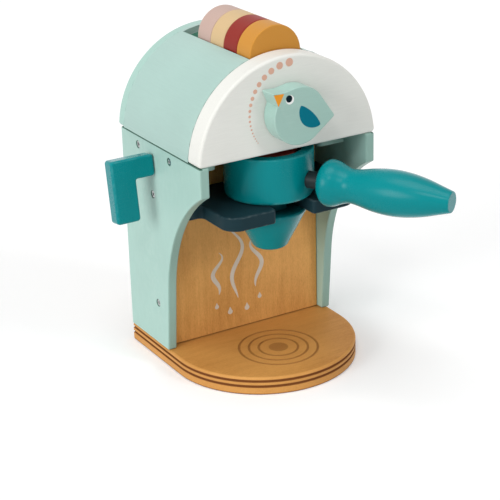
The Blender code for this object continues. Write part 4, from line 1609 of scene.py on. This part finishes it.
@dataclass
class Portafilter:
    """Cup with a bowl for a pod, a conical spout, a dowel and a turned grip."""

    axis_y: float = 0.0305
    foot_z: float = 0.1416
    cup_radius: float = 0.0343
    cup_height: float = 0.0357
    foot_round: float = 0.0030
    rim_round: float = 0.0013
    bowl_radius: float = 0.0251
    bowl_floor: float = 0.0146
    neck_radius: float = 0.0140
    tenon_radius: float = 0.0090
    tenon_height: float = 0.0085
    fork_room: float = 0.0116
    spout_top_radius: float = 0.0294
    spout_tip_radius: float = 0.0127
    spout_height: float = 0.0325
    spout_top_round: float = 0.0014
    spout_tip_round: float = 0.0050
    azimuth: float = radians(-60)
    handle_rise: float = 0.0143
    dowel_radius: float = 0.0065
    dowel_reach: tuple[float, float] = (0.0278, 0.0555)
    grip_start: float = 0.0435
    grip_length: float = 0.1045
    grip_radius: float = 0.0176
    grip_end_round: float = 0.0007
    grip_shares: tuple[tuple[float, float], ...] = (
        (0.000, 0.44), (0.013, 0.63), (0.032, 0.82), (0.056, 0.95), (0.087, 1.00), (0.135, 0.945),
        (0.188, 0.81), (0.238, 0.727), (0.305, 0.76), (0.434, 0.91), (0.559, 0.97), (0.678, 0.926),
        (0.795, 0.80), (0.908, 0.61), (0.993, 0.46),
    )
    bowl_round: float = 0.0008
    neck_round: float = 0.0003
    tenon_round: float = 0.0005
    grip_mouth_round: float = 0.0005
    neck_mark_drop: float = 0.0012
    neck_mark_margin: float = 0.002
    neck_share: float = 0.8
    spout_mark_drop: float = 0.0120
    spout_share: float = 0.3
    spout_mark_paint: Colour = (0, 62, 72)
    rod_steps: int = 64
    grip_steps: int = 112
    curve_steps: int = 8
    steps: int = 128

    def cup(self) -> Shape:
        """Cup about +Z from its foot, with the tenon's hole below and the bowl above."""
        bore = self.tenon_radius + SEAT_GAP
        profile = rounded(
            [
                (0, self.tenon_height + SEAT_GAP, 0),
                (bore, self.tenon_height + SEAT_GAP, 0),
                (bore, 0, 0),
                (self.cup_radius, 0, self.foot_round),
                (self.cup_radius, self.cup_height, self.rim_round),
                (self.bowl_radius, self.cup_height, self.rim_round),
                (self.bowl_radius, self.bowl_floor, self.bowl_round),
                (0, self.bowl_floor, 0),
            ]
        )
        return revolve(profile, self.steps)

    def spout(self) -> Shape:
        """Spout about +Z: tenon, neck through the fork, cone and rounded tip."""
        top = -self.fork_room
        tip = top - self.spout_height
        profile = rounded(
            [
                (0, tip, 0),
                (self.spout_tip_radius, tip, self.spout_tip_round),
                (self.spout_top_radius, top, self.spout_top_round),
                (self.neck_radius, top, 0),
                (self.neck_radius, -SEAT_GAP, self.neck_round),
                (self.tenon_radius, -SEAT_GAP, 0),
                (self.tenon_radius, self.tenon_height, self.tenon_round),
                (0, self.tenon_height, 0),
            ]
        )
        return revolve(profile, self.steps)

    def neck_shade(self, graph: Graph, place: Wire) -> Wire:
        """Mask of painted shade on the neck under the fork, which fades out over the spout's top."""
        top = self.foot_z - self.fork_room
        height = graph.coordinate(place, Axis.Z)
        across = graph.distance(graph.scaled(place, (1, 1, 0)), (0, self.axis_y, 0))
        ring = across.ramp(self.spout_top_radius, self.neck_radius + self.neck_mark_margin)
        neck = height.ramp(top - self.neck_mark_drop, top) * ring
        spout = height.ramp(top - self.spout_mark_drop, top)
        return (self.neck_share * neck).at_least(self.spout_share * spout)

    def rod(self, radius: float, start: float, end: float) -> Shape:
        """Rod along the handle, as (radius, distance from the cup's axis)."""
        profile = [(0, start, 0), (radius, start, SMALL_EDGE), (radius, end, SMALL_EDGE), (0, end, 0)]
        return revolve(rounded(profile), self.rod_steps)

    def grip(self) -> Shape:
        """Turned grip: a Catmull-Rom curve through its radius shares, a small round edge and a flat end."""
        shares = np.array(self.grip_shares)
        heights = self.grip_start + shares[:, 0] * self.grip_length
        stations = np.stack((shares[:, 1] * self.grip_radius, heights), -1)
        curve = smooth_through(stations, self.curve_steps)
        room = self.dowel_radius + SEAT_GAP
        socket = self.dowel_reach[1] + SEAT_GAP
        end = self.grip_start + self.grip_length
        rim = curve[-1, 0] - self.grip_end_round * 0.35
        corner = rounded([(*curve[-2], 0.0), (rim, end, self.grip_end_round), (0.0, end, 0.0)])
        lip = (room, self.grip_start, self.grip_mouth_round)
        mouth = rounded([(room, socket, 0), lip, (stations[0, 0], self.grip_start, 0)])
        return revolve(np.vstack(((0, socket), mouth[:-1], curve[:-2], corner)), self.grip_steps)

    def build(self, shop: Workshop) -> None:
        """Makes the four pieces of the portafilter."""
        upright = Matrix.Translation((0, self.axis_y, self.foot_z))
        outward = (cos(self.azimuth), sin(self.azimuth), 0)
        level = aimed(outward, (0, self.axis_y, self.foot_z + self.handle_rise))
        hole = self.rod(self.dowel_radius + SEAT_GAP / 2, self.dowel_reach[0] - SEAT_GAP, self.grip_start)
        teal = shop.finishes[Slot.TEAL]
        # Painted shade under the fork on the neck and the spout's top.
        spout_finish = ("spout_paint", replace(teal, marks=self.neck_shade, marked=self.spout_mark_paint))
        dowel = self.rod(self.dowel_radius, *self.dowel_reach)
        pieces = (
            ("portafilter_cup", self.cup().moved(upright), Slot.TEAL, None, [hole.moved(level)]),
            ("portafilter_spout", self.spout().moved(upright), Slot.TEAL, spout_finish, ()),
            ("handle_dowel", dowel.moved(level), Slot.BLACK, None, ()),
            ("handle_grip", self.grip().moved(level), Slot.TEAL, None, ()),
        )
        for name, shape, slot, finish, tools in pieces:
            shop.add(f"{name}_fine", shape, Body.PORTAFILTER, slot, name, finish=finish, tools=tools)


@dataclass
class BirdKnob:
    """Bird-shaped knob with painted beak, eye and wing, and the row of shrinking dots round it."""

    centre_z: float = 0.2122
    front_y: float = -0.0154
    back_y: float = -0.0004
    edge: float = 0.0009
    radius: float = 0.0217
    beak_tip: tuple[float, float] = (-0.0232, 0.0199)
    beak_root: tuple[float, float] = (-0.0128, 0.0197)
    beak_foot_angle: float = radians(152)
    crown_angle: float = radians(106)
    tail_reach: float = 0.0300
    tail_angle: float = radians(-9)
    eye_place: tuple[float, float] = (-0.0087, 0.0136)
    eye_radius: float = 0.0034
    pupil_place: tuple[float, float] = (-0.0094, 0.0144)
    pupil_radius: float = 0.0026
    wing_start: tuple[float, float] = (0.0004, 0.0074)
    wing_length: float = 0.0233
    wing_angle: float = radians(-45.9)
    wing_widths: tuple[float, float] = (0.0026, 0.0084)
    beak_rounds: tuple[float, float] = (0.0060, 0.0007)
    tail_round: float = 0.0016
    beak_print_rounds: tuple[float, float, float] = (0.0005, 0.0004, 0.0005)
    beak_print_tip: float = 1.3
    beak_print_root: float = 0.0006
    dot_circle: tuple[float, float, float] = (0.0020, 0.2131, 0.0352)
    dot_start: float = radians(91.9)
    dot_step: float = radians(13.5)
    dot_step_ratio: float = 0.9144
    dot_radius: float = 0.0031
    dot_radius_ratio: float = 0.888
    dot_count: int = 18
    panel_thickness: float = 0.0162
    screw_length: float = 0.0260
    back_steps: int = 30
    belly_steps: int = 70
    wing_steps: int = 60
    eye_steps: int = 48
    pupil_steps: int = 40
    dot_steps: int = 32
    screws: Screws = field(default_factory=Screws)

    def outline(self) -> Array:
        """Bird in (x, z) about its middle: a circle, tangents to the tail and a beak with a level top."""
        reach, angle = self.tail_reach, self.tail_angle
        spread = acos(self.radius / reach)
        tail = (reach * cos(angle), reach * sin(angle), self.tail_round)
        back = arc((0, 0), self.radius, angle + spread, self.crown_angle, self.back_steps)
        belly_end = 2 * pi + angle - spread
        belly = arc((0, 0), self.radius, self.beak_foot_angle, belly_end, self.belly_steps)
        root_round, tip_round = self.beak_rounds
        beak = [(*self.beak_root, root_round), (*self.beak_tip, tip_round)]
        return rounded([tail, *sharp(back), *beak, *sharp(belly)])

    def printed(self, outline: Array, coats: int = 1) -> Shape:
        """Layer of paint on the bird's face, with an outline in (x, z) about the bird's middle."""
        return layer(outline + np.array([0, self.centre_z]), self.front_y, coats)

    def beak(self) -> Array:
        """Painted beak in (x, z), just inside the rounded edge of the bird's face."""
        tip = np.array(self.beak_tip) + np.array([self.edge * self.beak_print_tip, -self.edge])
        foot = arc((0, 0), self.radius - self.edge, self.beak_foot_angle, self.beak_foot_angle, 0)[0]
        root = np.array(self.beak_root) + np.array([-self.beak_print_root, -self.edge])
        places = zip((tip, foot, root), self.beak_print_rounds)
        return rounded([(*place, radius) for place, radius in places])

    def wing(self) -> Array:
        """Painted wing: its edges lie w sin(pi s)^0.58 to either side of a line, with a width w for each."""
        s = np.linspace(0, 1, self.wing_steps)
        upper, lower = (width * np.sin(pi * s) ** 0.58 for width in self.wing_widths)
        length = s * self.wing_length
        blade = np.vstack((np.stack((length, upper), -1), np.stack((length, -lower), -1)[-2:0:-1]))
        along_x, along_z = cos(self.wing_angle), sin(self.wing_angle)
        turn = np.array([[along_x, along_z], [-along_z, along_x]])
        return blade @ turn + np.array(self.wing_start)

    def dots(self) -> Shape:
        """Round dots along a circle: both their radii and the steps between them shrink by fixed ratios."""
        x, z, reach = self.dot_circle
        index = np.arange(self.dot_count)
        radii = self.dot_radius * self.dot_radius_ratio**index
        steps = self.dot_step * self.dot_step_ratio**index
        angles = self.dot_start + np.concatenate(([0], np.cumsum(steps[:-1])))
        centres = zip(x + reach * np.cos(angles), z + reach * np.sin(angles))
        return joined(
            layer(arc(centre, radius, 0, 2 * pi, self.dot_steps)[:-1], 0.0)
            for centre, radius in zip(centres, radii)
        )

    def build(self, shop: Workshop) -> None:
        """Makes the knob, its screw, its painted marks and the dots on the panel."""
        body = Body.KNOB
        outline = self.outline() + np.array([0, self.centre_z])
        knob = slab(outline, self.front_y, self.back_y, Axis.Y, self.edge)
        shop.add("bird_knob_fine", knob, body, Slot.MINT, "bird_knob", finish=("bird_paint", BIRD_PAINT))
        inside = (0, self.panel_thickness, self.centre_z)
        self.screws.add(shop, "knob_screw", inside, (0, 1, 0), self.screw_length, body)
        eye = arc(self.eye_place, self.eye_radius, 0, 2 * pi, self.eye_steps)[:-1]
        pupil = arc(self.pupil_place, self.pupil_radius, 0, 2 * pi, self.pupil_steps)[:-1]
        prints = (
            ("beak", self.printed(self.beak()), Slot.OCHRE, BEAK_PRINT),
            ("wing", self.printed(self.wing()), Slot.TEAL, WING_PRINT),
            ("eye", self.printed(eye), Slot.WHITE, EYE_PRINT),
            ("pupil", self.printed(pupil, 2), Slot.NAVY, PUPIL_PRINT),
        )
        for word, shape, slot, paint in prints:
            shop.add(f"bird_{word}", shape, body, slot, finish=(f"{word}_print", paint))
        shop.add("panel_dots", self.dots(), Body.MACHINE, Slot.PINK, finish=("dot_print", DOT_PRINT))


@dataclass
class BackPrint:
    """Generic print on the back panel: rising wisps of steam and a few drops."""

    face_y: float = 0.0698
    half_width: float = 0.0019
    wisp_steps: int = 90
    drop_steps: int = 48
    wisps: tuple[tuple[float, float, float, float, float], ...] = (
        (-0.0260, 0.0470, 0.0360, 0.0042, 0.9),
        (-0.0085, 0.0400, 0.0660, 0.0060, 2.6),
        (0.0110, 0.0460, 0.0460, 0.0050, 4.4),
    )
    drops: tuple[tuple[float, float, float], ...] = (
        (-0.0270, 0.0370, 0.0018),
        (-0.0150, 0.0300, 0.0022),
        (0.0005, 0.0300, 0.0022),
        (0.0125, 0.0370, 0.0018),
    )

    def wisp(self, x: float, z: float, length: float, sway: float, phase: float) -> Array:
        """Tapered ribbon of steam.

        Its middle runs through (x + a (0.4 + s) sin(2.6 pi s + phase), z + l s); its half width across that
        line is w sin(pi s)^0.7 (1.25 - 0.6 s).

        Args:
            x: place of its foot.
            z: height of its foot.
            length: height of the whole ribbon.
            sway: amplitude a.
            phase: phase of the sway.

        Returns:
            Outline in (x, z).
        """
        s = np.linspace(0, 1, self.wisp_steps)
        middle = np.stack((x + sway * (0.4 + s) * np.sin(2.6 * pi * s + phase), z + length * s), -1)
        run = np.gradient(middle, axis=0)
        across = np.stack((run[:, 1], -run[:, 0]), -1) / np.linalg.norm(run, axis=1, keepdims=True)
        half = self.half_width * np.sin(pi * s) ** 0.7 * (1.25 - 0.6 * s)
        across = across * half[:, None]
        return np.vstack((middle + across, (middle - across)[-2:0:-1]))

    def drop(self, x: float, z: float, radius: float) -> Array:
        """Drop in (x, z): a circle, drawn out upward by 1 + 0.9 sin(t)^5, narrowed by 1 - 0.35 sin(t)^2."""
        turn = np.linspace(0, 2 * pi, self.drop_steps, endpoint=False)
        rise = np.clip(np.sin(turn), 0, None)
        across = radius * np.cos(turn) * (1 - 0.35 * rise**2)
        return np.stack((x + across, z + radius * np.sin(turn) * (1 + 0.9 * rise**5)), -1)

    def build(self, shop: Workshop) -> None:
        """Makes the print as thin layers on the panel's front."""
        outlines = [self.wisp(*numbers) for numbers in self.wisps]
        outlines += [self.drop(*numbers) for numbers in self.drops]
        shape = joined(layer(outline, self.face_y) for outline in outlines)
        shop.add("steam_print", shape, Body.MACHINE, Slot.WHITE, finish=("steam_print", STEAM_PRINT))


@dataclass
class SteamLever:
    """L-shaped lever that turns on a screw in the left side panel."""

    pivot: Point = (-0.075, 0.0777, 0.1660)
    tilt: float = radians(-8.5)
    drop: float = 0.0010
    forward: float = 0.0012
    gap: float = 0.0005
    reach: float = 0.0355
    thickness: float = 0.0120
    arm_height: float = 0.0166
    bar_width: float = 0.0195
    bar_length: float = 0.0484
    edge: float = 0.0019
    corner: float = 0.0026
    inner_corner: float = 0.0015
    panel_thickness: float = 0.0073
    screw_length: float = 0.0200
    screws: Screws = field(default_factory=Screws)

    def build(self, shop: Workshop) -> None:
        """Makes the lever and its screw."""
        top = self.arm_height / 2
        foot = top - self.bar_length
        outer = -self.gap - self.reach
        inside = outer + self.bar_width
        outline = rounded(
            [
                (-self.gap, top, self.corner),
                (outer, top, self.corner),
                (outer, foot, self.corner),
                (inside, foot, self.corner),
                (inside, -top, self.inner_corner),
                (-self.gap, -top, self.corner),
            ]
        )
        outline = outline - (0, self.drop)
        tilted = Matrix.Translation(self.pivot) @ Matrix.Rotation(self.tilt, 4, "X")
        rear = self.thickness / 2 - self.forward
        lever = slab(outline, rear - self.thickness, rear, Axis.Y, self.edge)
        shop.add("steam_lever_fine", lever.moved(tilted), Body.LEVER, Slot.TEAL, "steam_lever")
        inner = (self.pivot[0] + self.panel_thickness, *self.pivot[1:])
        self.screws.add(shop, "lever_screw", inner, (1, 0, 0), self.screw_length, Body.LEVER)


@dataclass
class Studio:
    """Camera of the photograph, white floor and plain soft light.

    Each lamp is a distant one: direction towards it, irradiance in watts per square metre, width in degrees.
    """

    camera_place: Point = (-0.5696, -0.9174, 0.5475)
    camera_turns: Point = (-30.19, 22.32, -1.57)
    lens: float = 112.19
    sensor: float = 36.0
    lamps: tuple[tuple[str, Point, float, float], ...] = (
        ("left_lamp", (-0.93, -0.22, 0.28), 1.36, 28.0),
        ("right_lamp", (0.42, -0.72, 0.55), 0.58, 16.0),
        ("front_lamp", (-0.50, -0.50, 0.70), 0.34, 10.0),
        ("top_lamp", (-0.14, -0.06, 0.98), 1.38, 40.0),
    )
    ambient: float = 0.25
    view_limit: float = 50.0
    floor_half: float = 6.0
    floor_z: float = -0.0002
    floor_white: float = 0.86
    floor_roughness: float = 0.9
    floor_lift: float = 0.20

    def camera(self) -> None:
        """Makes the camera: turned by its heading, tilted down, then rolled."""
        heading, pitch, roll = (radians(value) for value in self.camera_turns)
        turn = Matrix.Rotation(heading, 4, "Z") @ Matrix.Rotation(pi / 2 - pitch, 4, "X")
        turn = turn @ Matrix.Rotation(roll, 4, "Z")
        data = bpy.data.cameras.new("photo_camera")
        data.lens = self.lens
        data.sensor_width = self.sensor
        data.clip_end = self.view_limit
        camera = bpy.data.objects.new("photo_camera", data)
        camera.matrix_world = Matrix.Translation(self.camera_place) @ turn
        bpy.context.scene.collection.objects.link(camera)
        bpy.context.scene.camera = camera

    def light(self) -> None:
        """Makes the distant lamps."""
        for name, direction, strength, width in self.lamps:
            data = bpy.data.lights.new(name, "SUN")
            data.energy = strength
            data.angle = radians(width)
            lamp = bpy.data.objects.new(name, data)
            lamp.matrix_world = aimed(direction, (0.0, 0.0, 0.0))
            bpy.context.scene.collection.objects.link(lamp)

    def world(self) -> None:
        """White to the camera and in reflections, plain ambient light otherwise."""
        world = bpy.data.worlds.new("studio_world")
        world.use_nodes = True
        bpy.context.scene.world = world
        tree = world.node_tree
        background = tree.nodes["Background"]
        background.inputs["Color"].default_value = (1, 1, 1, 1)
        path = tree.nodes.new("ShaderNodeLightPath")
        seen = tree.nodes.new("ShaderNodeMath")
        seen.operation = "MAXIMUM"
        through = tree.nodes.new("ShaderNodeMath")
        through.operation = "MAXIMUM"
        level = tree.nodes.new("ShaderNodeMix")
        tree.links.new(path.outputs["Is Camera Ray"], seen.inputs[0])
        tree.links.new(path.outputs["Is Glossy Ray"], seen.inputs[1])
        tree.links.new(seen.outputs[0], through.inputs[0])
        tree.links.new(path.outputs["Is Transmission Ray"], through.inputs[1])
        tree.links.new(through.outputs[0], level.inputs[0])
        level.inputs[2].default_value = self.ambient
        level.inputs[3].default_value = 1.0
        tree.links.new(level.outputs[0], background.inputs["Strength"])

    def floor(self) -> None:
        """White floor that keeps the machine's shadow; the camera sees it a little brighter."""
        half = self.floor_half
        ways = ((-1, -1), (1, -1), (1, 1), (-1, 1))
        corners = np.array([(x * half, y * half, self.floor_z) for x, y in ways])
        floor = bare_object("studio_floor", Shape(corners, np.array([[0, 1, 2, 3]])))
        graph = Graph("floor_paper")
        graph.shade(Base_Color=(*(self.floor_white,) * 3, 1), Roughness=self.floor_roughness)
        tree = graph.tree
        glow = tree.nodes.new("ShaderNodeEmission")
        glow.inputs["Strength"].default_value = self.floor_lift
        total = tree.nodes.new("ShaderNodeAddShader")
        choice = tree.nodes.new("ShaderNodeMixShader")
        path = graph.node("ShaderNodeLightPath", {}, output="Is Camera Ray")
        glossy = graph.node("ShaderNodeLightPath", {}, output="Is Glossy Ray")
        clear = graph.node("ShaderNodeLightPath", {}, output="Is Transmission Ray")
        tree.links.new(graph.shader.outputs[0], total.inputs[0])
        tree.links.new(glow.outputs[0], total.inputs[1])
        graph.attach(choice.inputs[0], path.at_least(glossy).at_least(clear))
        tree.links.new(graph.shader.outputs[0], choice.inputs[1])
        tree.links.new(total.outputs[0], choice.inputs[2])
        tree.links.new(choice.outputs[0], tree.nodes["Material Output"].inputs["Surface"])
        floor.data.materials.append(graph.material)

    def build(self) -> None:
        """Makes the camera, the floor and the light."""
        bpy.context.scene.view_settings.view_transform = "Standard"
        self.camera()
        self.floor()
        self.light()
        self.world()
        log.info("studio ready")


# Finishes of this machine

BIRD_PAINT = Paint((163, 197, 187), grain=Axis.X, sheen=0.5)
SHELL_PAINT = Paint((170, 200, 192), grain=Axis.Y, sheen=0.8)
# Darker, greener copy of the mint paint: painted shade and bounce light inside the pod slot.
TRAY_SHADED_PAINT = Paint((116, 186, 162), grain=Axis.Y)
BEAK_PRINT = Paint((236, 152, 40), edge_light=0.0)
WING_PRINT = Paint((0, 113, 133), edge_light=0.0, specular=0.06)
EYE_PRINT = Paint((244, 245, 242), edge_light=0.0)
PUPIL_PRINT = Paint((6, 28, 38), edge_light=0.0, specular=0.05)
DOT_PRINT = Paint((222, 174, 153), edge_light=0.0)
STEAM_PRINT = Paint((222, 212, 198), mottling=1.2, edge_light=0.0)


def finishes(base: BasePlate) -> dict[Slot, Finish]:
    """Finish of every slot of the record.

    Args:
        base: base plate, whose marks its stain carries.

    Returns:
        The finishes by slot.
    """
    panel_stain = StainedWood(
        (242, 184, 108), (204, 145, 76), (150, 96, 44), Axis.Z, marks=Boards().foot_line
    )
    base_stain = StainedWood(
        (222, 162, 88), (184, 124, 58), (128, 76, 32), Axis.X, marks=base.burnt, contrast=0.8
    )
    return {
        # Mint paint whose marks are painted shade in the seam, round the countersinks and on the front
        # edges.
        Slot.MINT: Paint((170, 205, 195), sheen=0.3, marks=SidePanels().shadow_lines),
        Slot.WHITE: Paint((232, 232, 226), grain=Axis.X, edge_light=0.1),
        Slot.STAINED: panel_stain,
        Slot.BASE: base_stain,
        Slot.NAVY: Paint((27, 51, 58), grain=Axis.X, edge_light=0.15, specular=0.08),
        Slot.TEAL: Paint((0, 133, 138), roughness=0.26, specular=0.13, sheen=0.6),
        Slot.BLACK: Paint((34, 44, 46), roughness=0.4, specular=0.15),
        Slot.STEEL: PlatedSteel(),
        Slot.PLAIN_WOOD: StainedWood((226, 196, 150), (204, 168, 118), (170, 130, 84), Axis.Z),
        Slot.OCHRE: Paint((206, 143, 57), grain=Axis.Y, mottling=0.3, edge_light=0.0),
        Slot.RED: Paint((142, 39, 29), grain=Axis.Y, mottling=0.3, edge_light=0.0),
        Slot.CREAM: Paint((213, 183, 138), grain=Axis.Y, mottling=0.3, edge_light=0.0),
        Slot.PINK: Paint((197, 169, 158), grain=Axis.Y, mottling=0.3, edge_light=0.0),
        Slot.RUST: Paint((164, 46, 28), grain=Axis.Z),
    }


def main() -> None:
    """Builds the machine sub-assembly by sub-assembly, then the studio."""
    logging.basicConfig(level=logging.INFO, format="%(name)s: %(message)s", stream=sys.stdout)
    base = BasePlate()
    shop = Workshop(finishes(base))
    rest = (SidePanels, Boards, BackPrint, Dome, Pods, Portafilter, BirdKnob, SteamLever)
    for part in (base, *(kind() for kind in rest)):
        part.build(shop)
    Studio().build()
    log.info("%d pieces made", shop.pieces)


if __name__ == "__main__":
    main()
